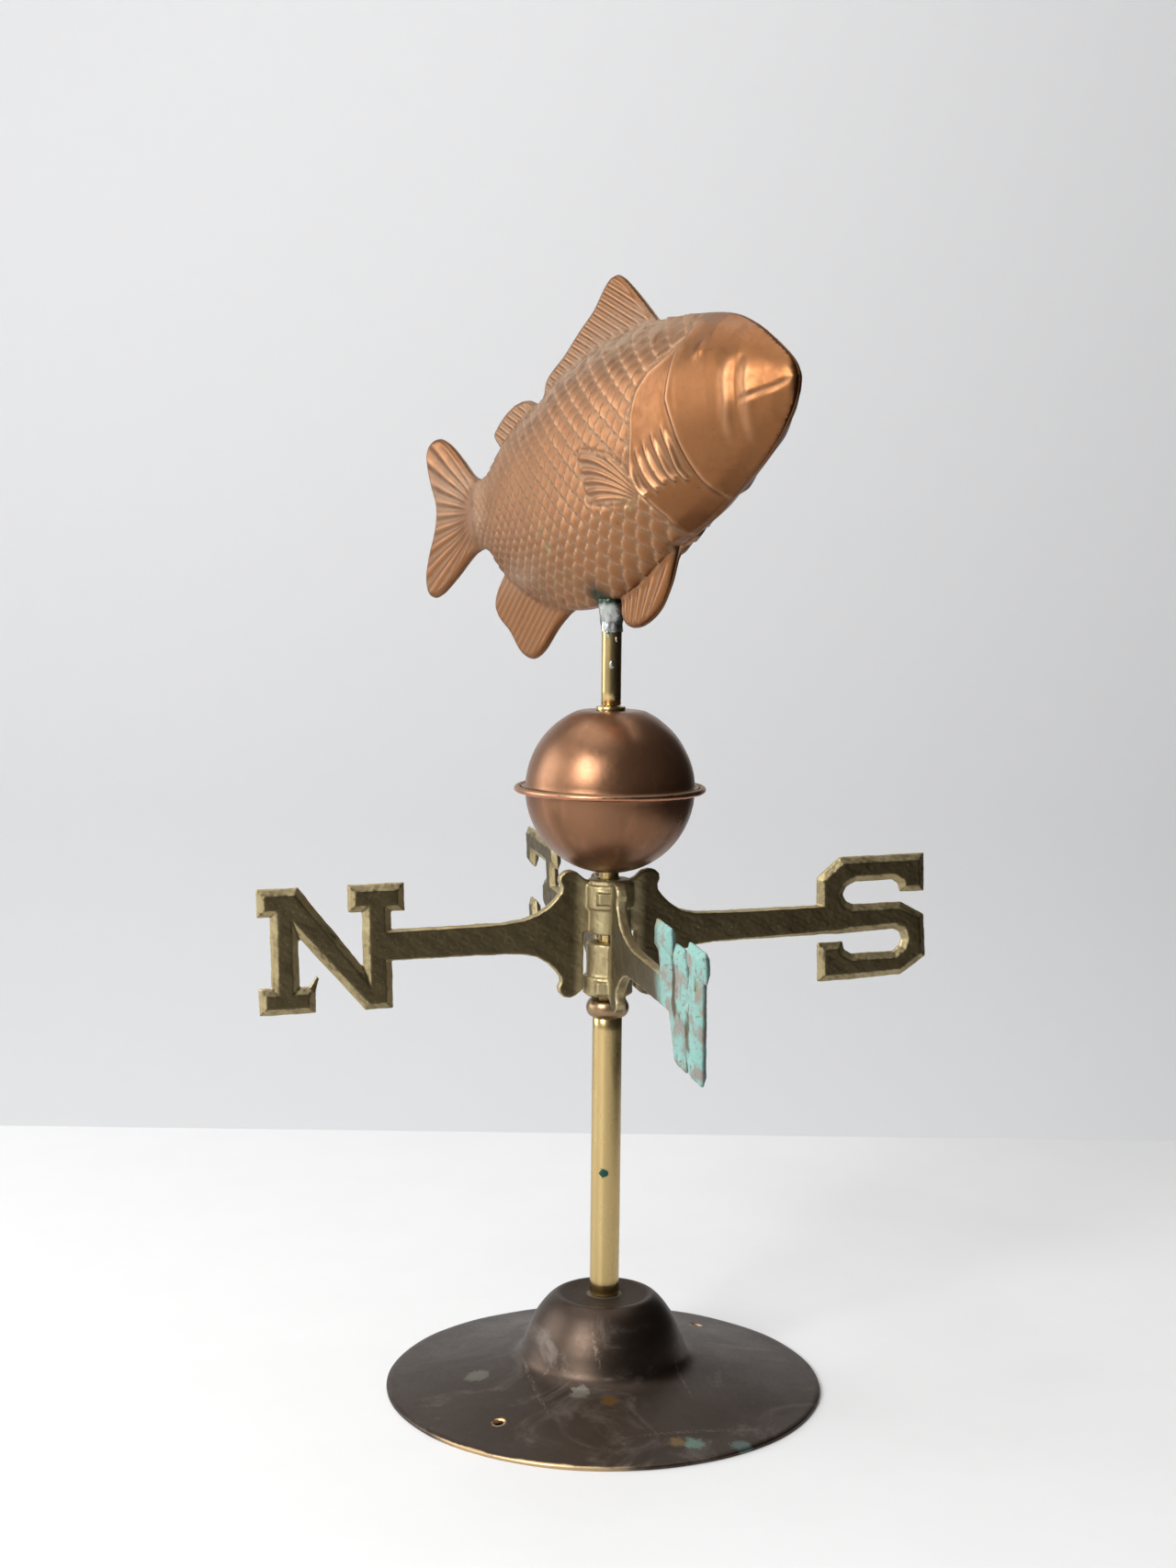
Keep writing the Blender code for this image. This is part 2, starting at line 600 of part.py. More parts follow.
def skin_height(points, distance):
    """How far the outside of one half stands from the middle plane at each point."""
    along, up = points[:, 0], points[:, 1]
    top, bottom = line_height(BACK_LINE, along), line_height(BELLY_LINE, along)
    across = np.clip(np.abs(2 * up - top - bottom) / (top - bottom), 0, 1)
    fullness = np.interp(along, (10, 80), (0.60, 0.88))
    body = line_height(HALF_WIDTHS, along) * (1 - across**2.3) ** fullness
    rounding = 1 - np.clip(distance / FIN_ROUNDING, 0, 1)
    fin = FIN_HALF_THICKNESS * np.sqrt(1 - rounding**2)
    return np.cbrt(body**3 + fin**3)


def grid_inside(outline):
    """Evenly spread points inside the outline, with a closer row along its edge."""
    low, high = np.min(outline, axis=0), np.max(outline, axis=0)
    row_step = FISH_GRID * math.sqrt(3) / 2
    points = []
    for row in range(int((high[1] - low[1]) / row_step) + 1):
        start = low[0] + FISH_GRID * (row % 2) / 2
        count = int((high[0] - start) / FISH_GRID) + 1
        points += [(start + FISH_GRID * column, low[1] + row_step * row) for column in range(count)]
    points = np.array(points)
    distance, inside = edge_distance(points, outline)
    grid = points[inside & (distance > 0.6 * FISH_GRID)]
    edge_row = np.array([tuple(corner) for corner in inset(outline, [2.3] * len(outline))])
    distance, inside = edge_distance(edge_row, outline)
    return np.vstack([grid, edge_row[inside & (distance > 2.1)]])


def add_face_sheet(bm, outline, inner_points, heights, side):
    """Triangulate the outline with its inner points and lift it to the heights."""
    coords = [Vector(point) for point in list(outline) + [tuple(p) for p in inner_points]]
    loop = list(range(len(outline)))
    edges = [(index, (index + 1) % len(loop)) for index in loop]
    flat, _, faces, origins, _, _ = delaunay_2d_cdt(coords, edges, [loop], 1, 1e-5)
    verts = [
        bm.verts.new((point.x, side * heights[origin[0]], point.y)) for point, origin in zip(flat, origins)
    ]
    for face in faces:
        bm.faces.new([verts[index] for index in face])
    placed = {origin[0]: vert for vert, origin in zip(verts, origins)}
    return [placed[index] for index in loop]


def make_fish_half(name, side, finish, parent):
    """One stamped half: an outer skin, an inner skin and the rim that meets the other half."""
    outline = [point for stretch in FISH_STRETCHES for point in smooth_stretch(stretch)]
    inner_outline = [tuple(corner) for corner in inset(outline, [FISH_SHEET] * len(outline))]
    grid = grid_inside(outline)
    distance, _ = edge_distance(grid, outline)
    outer = skin_height(grid, distance)
    rise = np.clip((distance - FISH_SHEET) / FISH_SHEET, 0, 1)
    inner = np.maximum(outer - FISH_SHEET, 0.3) * rise
    seam = GAP / 2
    rim = [seam] * len(outline)
    bm = bmesh.new()
    outer_rim = add_face_sheet(bm, outline, grid, rim + list(outer + seam), side)
    inner_rim = add_face_sheet(bm, inner_outline, grid, rim + list(inner + seam), side)
    for index in range(len(outline)):
        after = (index + 1) % len(outline)
        bm.faces.new((outer_rim[index], outer_rim[after], inner_rim[after], inner_rim[index]))
    return solid(name, bm, finish, parent)


def make_fish(copper, pivot):
    frame = empty("fish_frame", (0, 0, FISH_HEIGHT), pivot)
    frame.rotation_euler = (0, -math.radians(FISH_PITCH), math.radians(FISH_HEADING))
    bpy.context.view_layer.update()
    tube_clearance = VANE_TUBE_RADIUS + 0.4
    solder_clearance = VANE_TUBE_RADIUS + 3.0
    shoulder = SOLDER_TOP + GAP
    slot_outline = [
        (0, 300),
        (solder_clearance, 300),
        (solder_clearance, shoulder),
        (tube_clearance, shoulder),
        (tube_clearance, 332),
        (0, 332),
    ]
    slot = solid("fish_tube_slot", turned(slot_outline, TUBE_STEPS), None)
    for name, side in (("fish_left_half", 1), ("fish_right_half", -1)):
        boolean(make_fish_half(name, side, copper, frame), "DIFFERENCE", slot)


def make_vane_bearing(brass, steel, solder, pivot):
    tube = tube_outline(VANE_TUBE_BORE, VANE_TUBE_RADIUS, VANE_TUBE_FOOT, VANE_TUBE_TOP)
    solid("vane_tube", turned(tube, TUBE_STEPS), brass, pivot)
    ball_middle = PIVOT_TOP + GAP + PIVOT_BALL_RADIUS
    ball = [(0, ball_middle - PIVOT_BALL_RADIUS)]
    ball += arc((0, ball_middle), PIVOT_BALL_RADIUS, -60, 60, 4)
    ball += [(0, ball_middle + PIVOT_BALL_RADIUS)]
    solid("pivot_ball", turned(ball, 12), steel, pivot)
    plug_bottom = ball_middle + PIVOT_BALL_RADIUS + GAP
    shank = VANE_TUBE_BORE - GAP
    cap_bottom = VANE_TUBE_TOP + GAP
    plug = [
        (0, plug_bottom),
        (shank, plug_bottom),
        (shank, cap_bottom),
        (VANE_TUBE_RADIUS, cap_bottom),
        (VANE_TUBE_RADIUS, cap_bottom + 1.4),
        (0, cap_bottom + 2.0),
    ]
    solid("tube_end_plug", turned(plug, 16), brass, pivot)
    inner = VANE_TUBE_RADIUS + GAP
    fillet = [
        (inner, SOLDER_BOTTOM),
        (inner + 0.3, SOLDER_BOTTOM),
        (inner + 0.9, SOLDER_TOP - 3.0),
        (inner + 2.0, SOLDER_TOP - 0.6),
        (inner + 1.6, SOLDER_TOP),
        (inner, SOLDER_TOP),
    ]
    solid("solder_fillet", turned(fillet, TUBE_STEPS), solder, pivot)


# ---------------------------------------------------------------- assembly


def main():
    clear_scene()
    bronze = material("dark_bronze", (0.075, 0.055, 0.045), 0.42)
    brass = material("satin_brass", (0.60, 0.45, 0.20), 0.32)
    dark_brass = material("bead_bronze", (0.30, 0.20, 0.13), 0.35)
    cast_brass = material("cast_brass", (0.30, 0.25, 0.14), 0.55)
    globe_copper = material("globe_copper", (0.36, 0.20, 0.12), 0.38)
    fish_copper = material("fish_copper", (0.48, 0.26, 0.14), 0.45)
    steel = material("steel", (0.50, 0.50, 0.50), 0.40)
    solder = material("solder", (0.62, 0.62, 0.60), 0.35)

    make_foot(bronze)
    make_rod_fastening(steel)
    make_spindle(brass, dark_brass)

    directionals = empty("directionals_axis")
    upper_screw = make_casting(
        "north_south_casting",
        ((LETTER_N, 90), (LETTER_S, -90)),
        height=NORTH_SOUTH_HEIGHT,
        barrel_side=1,
        band=(10.8, 19.6),
        rise=NORTH_SOUTH_TILT,
        lean=0,
        finish=cast_brass,
        parent=directionals,
    )
    lower_screw = make_casting(
        "east_west_casting",
        ((LETTER_W, WEST_HEADING), (LETTER_E, 0)),
        height=EAST_WEST_HEIGHT,
        barrel_side=-1,
        band=(13.8, 20.6),
        rise=EAST_WEST_TILT,
        lean=EAST_WEST_LEAN,
        finish=cast_brass,
        parent=directionals,
    )
    make_set_screw("set_screw_upper", upper_screw, steel, directionals)
    make_set_screw("set_screw_lower", lower_screw, steel, directionals)

    make_globe(globe_copper, brass)

    vane = empty("vane_axis")
    make_vane_bearing(brass, steel, solder, vane)
    make_fish(fish_copper, vane)


main()
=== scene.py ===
"""Looks of the fish weather vane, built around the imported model.

Lengths are in millimetres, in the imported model's own frame: +Z up the spindle, +Y towards
the letter N and +X towards the letter E. MM turns them into Blender's metres.
"""

import math  # noqa: E402

import bmesh  # noqa: E402
import bpy  # noqa: E402
import numpy as np  # noqa: E402
from mathutils import Matrix, Vector  # noqa: E402
from mathutils.geometry import delaunay_2d_cdt  # noqa: E402


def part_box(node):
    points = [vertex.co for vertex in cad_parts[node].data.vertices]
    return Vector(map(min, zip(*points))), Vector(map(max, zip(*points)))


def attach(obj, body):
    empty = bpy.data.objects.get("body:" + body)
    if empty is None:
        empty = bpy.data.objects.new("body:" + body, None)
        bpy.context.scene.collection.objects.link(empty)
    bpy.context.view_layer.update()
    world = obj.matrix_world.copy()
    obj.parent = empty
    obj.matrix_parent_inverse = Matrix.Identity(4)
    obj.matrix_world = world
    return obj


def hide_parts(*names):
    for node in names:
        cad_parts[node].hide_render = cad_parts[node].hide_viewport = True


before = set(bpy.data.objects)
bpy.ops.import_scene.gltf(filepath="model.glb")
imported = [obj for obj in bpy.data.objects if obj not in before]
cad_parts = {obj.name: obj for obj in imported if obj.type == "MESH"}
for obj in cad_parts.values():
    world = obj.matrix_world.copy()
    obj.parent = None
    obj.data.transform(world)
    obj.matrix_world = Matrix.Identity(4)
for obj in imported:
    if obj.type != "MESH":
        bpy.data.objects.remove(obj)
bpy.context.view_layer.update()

MM = 0.001
ROD_BORE = 4.4
FINE_STEPS = 144  # segments round a large turned piece
TUBE_STEPS = 64

# Foot
SCREW_HOLE_ANGLE = 128.7  # degrees from +X; the second hole is opposite
SCREW_HOLE_PITCH = 69.0  # distance of a screw hole from the spindle
SCREW_HOLE_RADIUS = 2.2

# Fish
FISH_HEADING = -160.5  # degrees from +X
FISH_PITCH = 10.6  # degrees nose up
FISH_HEIGHT = 376.0
FISH_MESH_STEP = 0.66  # spacing of the skin's points
FIN_HALF_THICKNESS = 2.2
FIN_ROUNDING = 2.6
SEAM = 0.08  # gap between one half and the middle plane
LIP_WIDTH = 0.7  # how far the rim is turned inwards
TAIL_START = -97.0  # where the body ends along the fish
SCALE_COLUMN = 4.4  # spacing of the columns of scales along the fish
SCALE_ROW = 9.2  # height of one scale
SCALE_LIFT = 1.35  # how far a scale's free edge stands up

# Castings
CASTING_THICKNESS = 4.5
LETTER_BEVEL = (3.0, 1.9)
ARM_BEVEL = (0.7, 0.6)
ARM_HALF_HEIGHT = 6.25
FORK_INNER = 10.7
BARREL_RADIUS = 8.8
BARREL_LENGTH = 22.0
BAND_RADIUS = 10.0
CAST_VOXEL = 0.42
SET_SCREW_ANGLE = -45.0
NORTH_SOUTH_LEVEL = 188.2  # height of the middle of the arms
EAST_WEST_LEVEL = 184.4

# Stage, with x away from the camera and y to its left
TABLE_DEPTH, TABLE_WIDTH, TABLE_THICKNESS = 1700, 2200, 30
TABLE_FAR_EDGE, TABLE_RIGHT_EDGE = 396, -430
COVE_START, COVE_BEND, COVE_RADIUS, COVE_TOP = 600, 1000, 900, 3600
COVE_SIDES = (-950, 2600)

# Camera and light, in metres and degrees
CAMERA_ANGLE = 180 - 15.57  # from +X to the line from the spindle to the camera
CAMERA_PLACE = (-0.8519, 0.2374, 0.3431)
CAMERA_LENS = 50.945
CAMERA_TURN, CAMERA_DROP = -105.0, 6.12
CAMERA_ROLL = 0.0106  # radians
LIT_POINT = (0, 0, 0.26)
WORLD_DIM = (0.012, 0.012, 0.013, 1)
WORLD_MIDDLE = (0.10, 0.10, 0.102, 1)
WORLD_BRIGHT = (0.95, 0.97, 1.0, 1)
WORLD_STRENGTH = 0.85

# Pieces that keep their own shapes
BRASS_FITTINGS = ("centre_rod", "globe_spacer_sleeve", "tube_end_plug")
STEEL_FITTINGS = ("rod_washer", "rod_nut", "set_screw_upper", "set_screw_lower", "pivot_ball")


# ---------------------------------------------------------------- mesh helpers


def link(name, mesh):
    made = bpy.data.objects.new(name, mesh)
    bpy.context.scene.collection.objects.link(made)
    return made


def mesh_object(name, bm, smooth_angle=40):
    """Turn a bmesh in millimetres into a smooth-shaded object in metres."""
    bmesh.ops.recalc_face_normals(bm, faces=bm.faces)
    bmesh.ops.scale(bm, vec=(MM, MM, MM), verts=bm.verts)
    mesh = bpy.data.meshes.new(name)
    bm.to_mesh(mesh)
    bm.free()
    mesh.shade_smooth()
    mesh.set_sharp_from_angle(angle=math.radians(smooth_angle))
    return link(name, mesh)


def applied(obj):
    """The object with its modifiers turned into plain mesh."""
    graph = bpy.context.evaluated_depsgraph_get()
    mesh = bpy.data.meshes.new_from_object(obj.evaluated_get(graph))
    obj.modifiers.clear()
    obj.data = mesh
    return obj


def boolean(obj, operation, other):
    modifier = obj.modifiers.new(operation.lower(), "BOOLEAN")
    modifier.operation = operation
    modifier.object = other
    applied(obj)
    bpy.data.objects.remove(other)


def coordinates(mesh):
    points = np.zeros(len(mesh.vertices) * 3)
    mesh.vertices.foreach_get("co", points)
    return points.reshape(-1, 3)


def normals(mesh):
    found = np.zeros(len(mesh.vertices) * 3)
    mesh.vertices.foreach_get("normal", found)
    return found.reshape(-1, 3)


def set_coordinates(mesh, points):
    mesh.vertices.foreach_set("co", np.asarray(points, np.float32).ravel())
    mesh.update()


def store(mesh, name, values):
    attribute = mesh.attributes.new(name, "FLOAT", "POINT")
    attribute.data.foreach_set("value", np.asarray(values, np.float32))


def ripple(points, size, seed):
    """A smooth, slightly irregular height between about -1 and 1, with features of this size."""
    random = np.random.default_rng(seed)
    total = np.zeros(len(points))
    for _ in range(7):
        wave = random.normal(size=3)
        wave *= math.tau / size / np.linalg.norm(wave) * random.uniform(0.6, 1.4)
        total += np.sin(points @ wave + random.uniform(0, math.tau))
    return total / 3.2


def roughen(obj, amount, size, seed):
    """Push the surface in and out by an irregular amount in millimetres."""
    mesh = obj.data
    points = coordinates(mesh)
    push = ripple(points / MM, size, seed) * amount * MM
    set_coordinates(mesh, points + normals(mesh) * push[:, None])


def turned(outline, steps):
    """Ring a closed (radius, height) outline round the Z axis; radius 0 is a pole."""
    bm = bmesh.new()
    rings = []
    for radius, height in outline:
        if radius == 0:
            rings.append([bm.verts.new((0, 0, height))] * steps)
            continue
        angles = (math.tau * step / steps for step in range(steps))
        rings.append([bm.verts.new((radius * math.cos(a), radius * math.sin(a), height)) for a in angles])
    for lower, upper in zip(rings, rings[1:] + rings[:1]):
        for step in range(steps):
            after = (step + 1) % steps
            corners = dict.fromkeys((lower[step], lower[after], upper[after], upper[step]))
            if len(corners) > 2:
                bm.faces.new(corners)
    return bm


def arc(centre, radius, start, end, steps):
    """Points in the (radius, height) plane, with angles in degrees from the outward direction."""
    angles = (math.radians(start + (end - start) * step / steps) for step in range(steps + 1))
    return [(centre[0] + radius * math.cos(a), centre[1] + radius * math.sin(a)) for a in angles]


def smooth_stretch(points, steps):
    """Catmull-Rom curve through the points, without its last one."""
    padded = [points[0]] + points + [points[-1]]
    curve = []
    for p0, p1, p2, p3 in zip(padded, padded[1:], padded[2:], padded[3:]):
        p0, p1, p2, p3 = (np.array(p) for p in (p0, p1, p2, p3))
        for step in range(steps):
            t = step / steps
            straight = 2 * p1 + (p2 - p0) * t
            bend = (2 * p0 - 5 * p1 + 4 * p2 - p3) * t**2 + (3 * p1 - p0 - 3 * p2 + p3) * t**3
            curve.append(tuple((straight + bend) / 2))
    return curve


def polar(radius, degrees, height=0.0):
    angle = math.radians(degrees)
    return Vector((radius * math.cos(angle), radius * math.sin(angle), height))


def box_mm(node):
    low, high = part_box(node)
    return low / MM, high / MM


def coat(obj, finish):
    """Give the piece this material and no other."""
    obj.data.materials.clear()
    obj.data.materials.append(finish)


def place(obj, body, node, finish):
    """Let the piece stand for its CAD node, ride on its body and take its material."""
    coat(obj, finish)
    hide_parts(node)
    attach(obj, body)
    return obj


# ---------------------------------------------------------------- material helpers


class Paint:
    """A node material under construction: each method adds one node and returns its output."""

    def __init__(self, name, metallic=1.0):
        self.material = bpy.data.materials.new(name)
        self.material.use_nodes = True
        self.tree = self.material.node_tree
        self.shader = self.tree.nodes["Principled BSDF"]
        self.shader.inputs["Metallic"].default_value = metallic
        self.where = self.tree.nodes.new("ShaderNodeTexCoord")

    def put(self, node, socket, value):
        if isinstance(value, bpy.types.NodeSocket):
            self.tree.links.new(value, node.inputs[socket])
        elif isinstance(value, tuple) and len(value) == 3 and node.inputs[socket].type == "RGBA":
            node.inputs[socket].default_value = (*value, 1.0)
        else:
            node.inputs[socket].default_value = value

    def node(self, kind, inputs, output=0, **settings):
        made = self.tree.nodes.new(kind)
        for name, value in settings.items():
            setattr(made, name, value)
        for socket, value in inputs.items():
            self.put(made, socket, value)
        return made.outputs[output]

    def stretched(self, scale):
        return self.node("ShaderNodeMapping", {"Vector": self.where.outputs["Object"], "Scale": scale})

    def noise(self, size_mm, detail=4.0, rough=0.6, vector=None, distortion=0.0):
        """Fractal noise with blotches of about this size."""
        inputs = {
            "Vector": vector or self.where.outputs["Object"],
            "Scale": 1000.0 / size_mm,
            "Detail": detail,
            "Roughness": rough,
            "Distortion": distortion,
        }
        return self.node("ShaderNodeTexNoise", inputs)

    def steps(self, value, low, high, out_low=0.0, out_high=1.0):
        """Map low..high smoothly to out_low..out_high."""
        inputs = {0: value, 1: low, 2: high, 3: out_low, 4: out_high}
        return self.node("ShaderNodeMapRange", inputs, interpolation_type="SMOOTHSTEP")

    def math(self, operation, first, second=0.0):
        return self.node("ShaderNodeMath", {0: first, 1: second}, operation=operation)

    def blend(self, share, first, second, mode="MIX"):
        inputs = {0: share, 6: first, 7: second}
        settings = {"data_type": "RGBA", "blend_type": mode, "clamp_factor": True}
        return self.node("ShaderNodeMix", inputs, output=2, **settings)

    def times(self, first, second):
        return self.math("MULTIPLY", first, second)

    def plus(self, first, second):
        return self.math("ADD", first, second)

    def tint(self, colour, stain, value, low, high, share=1.0):
        """The colour, stained by up to this share where the value climbs from low to high."""
        return self.blend(self.steps(value, low, high, 0.0, share), colour, stain)

    def attribute(self, name):
        return self.node("ShaderNodeAttribute", {}, output=2, attribute_name=name)

    def axis(self, name, letter):
        """One coordinate of a texture-coordinate output."""
        split = self.tree.nodes.new("ShaderNodeSeparateXYZ")
        self.tree.links.new(self.where.outputs[name], split.inputs[0])
        return split.outputs["XYZ".index(letter)]

    def distance(self, point_mm):
        """Distance in metres from a point in the piece's own frame."""
        inputs = {0: self.where.outputs["Object"], 1: tuple(value * MM for value in point_mm)}
        return self.node("ShaderNodeVectorMath", inputs, output=1, operation="DISTANCE")

    def distance_from_axis(self):
        """Distance in metres from the spindle's axis, for a piece in the vane's own frame."""
        inputs = {0: self.where.outputs["Object"], 1: (1, 1, 0)}
        flat = self.node("ShaderNodeVectorMath", inputs, operation="MULTIPLY")
        return self.node("ShaderNodeVectorMath", {0: flat}, output=1, operation="LENGTH")

    def bump(self, height, strength, depth_mm, under=None):
        inputs = {"Height": height, "Strength": strength, "Distance": depth_mm * MM}
        if under is not None:
            inputs["Normal"] = under
        return self.node("ShaderNodeBump", inputs)

    def finish(self, colour, roughness, normal=None, metallic=None):
        self.put(self.shader, "Base Color", colour)
        self.put(self.shader, "Roughness", roughness)
        if normal is not None:
            self.put(self.shader, "Normal", normal)
        if metallic is not None:
            self.put(self.shader, "Metallic", metallic)
        return self.material


def spots(paint, base, colour, places, softness=1.0):
    """Stains round points given as ((x, y, z), radius) in millimetres, with ragged edges."""
    ragged = paint.noise(3.0, 4.0, 0.75, distortion=0.8)
    for point, radius in places:
        edge = paint.plus(paint.distance(point), paint.times(ragged, 2.6 * radius * MM))
        inside = radius * MM * 2.1
        share = paint.steps(edge, inside, inside + softness * MM, 1.0, 0.0)
        base = paint.blend(share, base, colour)
    return base


def copper_of_fish(name):
    paint = Paint(name)
    recess, rubbed_and_highlit = paint.attribute("recess"), paint.attribute("rubbed_and_highlit")
    dust, green = paint.attribute("dust"), paint.attribute("green")
    tone = paint.noise(26.0, 3.0, 0.55)
    grain = paint.noise(1.1, 5.0, 0.7)
    clouds = paint.noise(6.5, 4.0, 0.65, distortion=0.6)
    colour = paint.blend(tone, (0.190, 0.080, 0.031), (0.250, 0.112, 0.046))
    colour = paint.tint(colour, (0.19, 0.072, 0.030), clouds, 0.45, 0.75, 0.45)
    # Lighter copper on scale edges, head crests, fin ray crests and the pectoral fin: rubbed metal together
    # with a painted highlight.
    colour = paint.blend(paint.times(rubbed_and_highlit, 0.85), colour, (0.50, 0.275, 0.150))
    dusty = paint.times(recess, paint.steps(grain, 0.25, 0.7, 0.55, 1.0))
    colour = paint.blend(dusty, colour, (0.185, 0.135, 0.085))
    film = paint.times(dust, paint.steps(clouds, 0.3, 0.62, 0.25, 1.0))
    colour = paint.blend(film, colour, (0.27, 0.20, 0.14))
    specks = paint.steps(paint.noise(2.4, 2.0, 0.8), 0.56, 0.62)
    colour = paint.blend(paint.times(green, specks), colour, (0.16, 0.26, 0.13))
    # Near-black green round the tube's entry under the belly: tarnished copper together with painted shade.
    tarnish_and_shade = paint.times(paint.attribute("tarnish_and_shade"), paint.steps(grain, 0.2, 0.55, 0.6, 1.0))
    colour = paint.blend(tarnish_and_shade, colour, (0.022, 0.034, 0.022))
    colour = paint.tint(colour, (0.10, 0.035, 0.018), paint.noise(3.1, 2.0), 0.70, 0.76, 0.5)
    roughness = paint.plus(paint.steps(clouds, 0.3, 0.7, 0.36, 0.48), paint.times(film, 0.22))
    roughness = paint.plus(roughness, paint.times(dusty, 0.25))
    metallic = paint.math("SUBTRACT", 1.0, paint.times(paint.math("MAXIMUM", dusty, film), 0.75))
    normal = paint.bump(grain, 0.22, 0.12)
    normal = paint.bump(paint.noise(9.0, 2.0), 0.30, 0.35, normal)
    return paint.finish(colour, roughness, normal, metallic)


def copper_of_globe(name):
    paint = Paint(name)
    clouds = paint.noise(16.0, 5.0, 0.62, distortion=0.4)
    grain = paint.noise(1.4, 5.0, 0.7)
    streaks = paint.noise(5.0, 3.0, 0.5, paint.stretched((1.0, 1.0, 0.16)))
    colour = paint.blend(clouds, (0.155, 0.075, 0.038), (0.27, 0.135, 0.072))
    colour = paint.tint(colour, (0.34, 0.155, 0.085), streaks, 0.5, 0.8, 0.45)
    colour = paint.tint(colour, (0.14, 0.10, 0.05), grain, 0.55, 0.8, 0.4)
    roughness = paint.steps(clouds, 0.3, 0.72, 0.27, 0.38)
    roughness = paint.plus(roughness, paint.steps(grain, 0.4, 0.8, 0.0, 0.1))
    normal = paint.bump(grain, 0.16, 0.10)
    normal = paint.bump(paint.noise(11.0, 2.0), 0.25, 0.30, normal)
    return paint.finish(colour, roughness, normal, paint.steps(clouds, 0.3, 0.7, 0.78, 0.92))


def rim_copper(name, middle):
    """Bright rolled copper below, with a line of greenish grime above the bead."""
    paint = Paint(name)
    height = paint.axis("Object", "Z")
    wave = paint.times(paint.noise(4.0, 3.0), 0.0009)
    level = paint.plus(height, wave)
    top = paint.steps(level, (middle + 0.8) * MM, (middle + 1.6) * MM)
    colour = paint.blend(paint.noise(5.0), (0.34, 0.15, 0.085), (0.55, 0.26, 0.15))
    colour = paint.blend(paint.times(top, 0.75), colour, (0.24, 0.21, 0.12))
    roughness = paint.plus(paint.steps(paint.noise(3.0), 0.3, 0.7, 0.24, 0.38), paint.times(top, 0.2))
    return paint.finish(colour, roughness, paint.bump(paint.noise(1.3), 0.2, 0.08))


def drawn_brass(name, places=()):
    """Tube and rod brass: drawn lines along its length, tarnished clouds and small pits."""
    paint = Paint(name)
    lines = paint.noise(0.9, 4.0, 0.7, paint.stretched((1.0, 1.0, 0.03)))
    clouds = paint.noise(14.0, 5.0, 0.6, paint.stretched((1.0, 1.0, 0.45)))
    pits = paint.noise(1.6, 3.0, 0.8)
    colour = paint.blend(clouds, (0.44, 0.315, 0.135), (0.60, 0.455, 0.215))
    colour = paint.tint(colour, (0.36, 0.25, 0.10), lines, 0.5, 0.75, 0.35)
    colour = paint.tint(colour, (0.13, 0.10, 0.05), pits, 0.66, 0.74, 0.7)
    colour = spots(paint, colour, (0.02, 0.075, 0.06), places, 0.5)
    roughness = paint.steps(clouds, 0.3, 0.7, 0.20, 0.32)
    normal = paint.bump(lines, 0.10, 0.05)
    return paint.finish(colour, roughness, paint.bump(pits, 0.12, 0.08, normal))


def bead_bronze(name):
    paint = Paint(name)
    clouds = paint.noise(6.0, 5.0, 0.65)
    colour = paint.blend(clouds, (0.17, 0.115, 0.065), (0.38, 0.26, 0.15))
    roughness = paint.steps(clouds, 0.3, 0.7, 0.26, 0.42)
    return paint.finish(colour, roughness, paint.bump(paint.noise(1.5), 0.18, 0.1))


def sand_cast_brass(name, across, patina_end=False):
    """Cast brass: olive-brown on the faces, paler on bevels and hub, pitted like sand; the face and bevel
    tones are partly patina and partly painted shade and painted highlight.
    """
    paint = Paint(name)
    sand = paint.noise(1.0, 4.0, 0.7)
    coarse = paint.noise(3.6, 4.0, 0.6)
    clouds = paint.noise(13.0, 4.0, 0.6)
    facing = paint.math("ABSOLUTE", paint.axis("Normal", across))
    hub = paint.steps(paint.distance_from_axis(), 0.011, 0.016, 1.0, 0.0)
    # Tone by surface direction: darker broad faces and paler bevels, partly patina and partly painted shade
    # and highlight.
    face = paint.times(paint.steps(facing, 0.82, 0.94), paint.math("SUBTRACT", 1.0, hub))
    pale = paint.blend(clouds, (0.30, 0.24, 0.125), (0.43, 0.355, 0.20))
    dark = paint.blend(clouds, (0.062, 0.046, 0.022), (0.125, 0.097, 0.050))
    colour = paint.blend(face, pale, dark)
    colour = paint.tint(colour, (0.085, 0.065, 0.032), coarse, 0.55, 0.75, 0.45)
    colour = paint.tint(colour, (0.50, 0.42, 0.22), sand, 0.6, 0.75, 0.5)
    roughness = paint.steps(coarse, 0.3, 0.7, 0.40, 0.58)
    metallic = 0.92
    if patina_end:
        share = west_patina_share(paint, clouds)
        colour = paint.blend(share, colour, verdigris(paint))
        metallic = paint.math("SUBTRACT", 0.92, paint.times(share, 0.85))
        roughness = paint.plus(roughness, paint.times(share, 0.3))
    normal = paint.bump(sand, 0.35, 0.22)
    return paint.finish(colour, roughness, paint.bump(coarse, 0.45, 0.5, normal), metallic)


def west_patina_share(paint, clouds):
    """Where the verdigris lies: over the west letter, with patches left bare."""
    reach = paint.steps(paint.axis("Object", "X"), -0.072, -0.086)
    streaks = paint.noise(9.0, 4.0, 0.6, paint.stretched((1.0, 1.0, 0.4)))
    patchy = paint.steps(paint.plus(streaks, paint.times(clouds, 0.35)), 0.52, 0.64)
    return paint.times(reach, paint.math("MAXIMUM", patchy, 0.12))


def verdigris(paint):
    fine = paint.noise(2.6, 5.0, 0.7)
    wide = paint.noise(8.0, 3.0, 0.6, distortion=0.5)
    colour = paint.blend(fine, (0.095, 0.255, 0.225), (0.27, 0.43, 0.39))
    colour = paint.tint(colour, (0.205, 0.165, 0.145), wide, 0.46, 0.60, 0.85)
    return paint.tint(colour, (0.125, 0.08, 0.055), fine, 0.54, 0.66, 0.80)


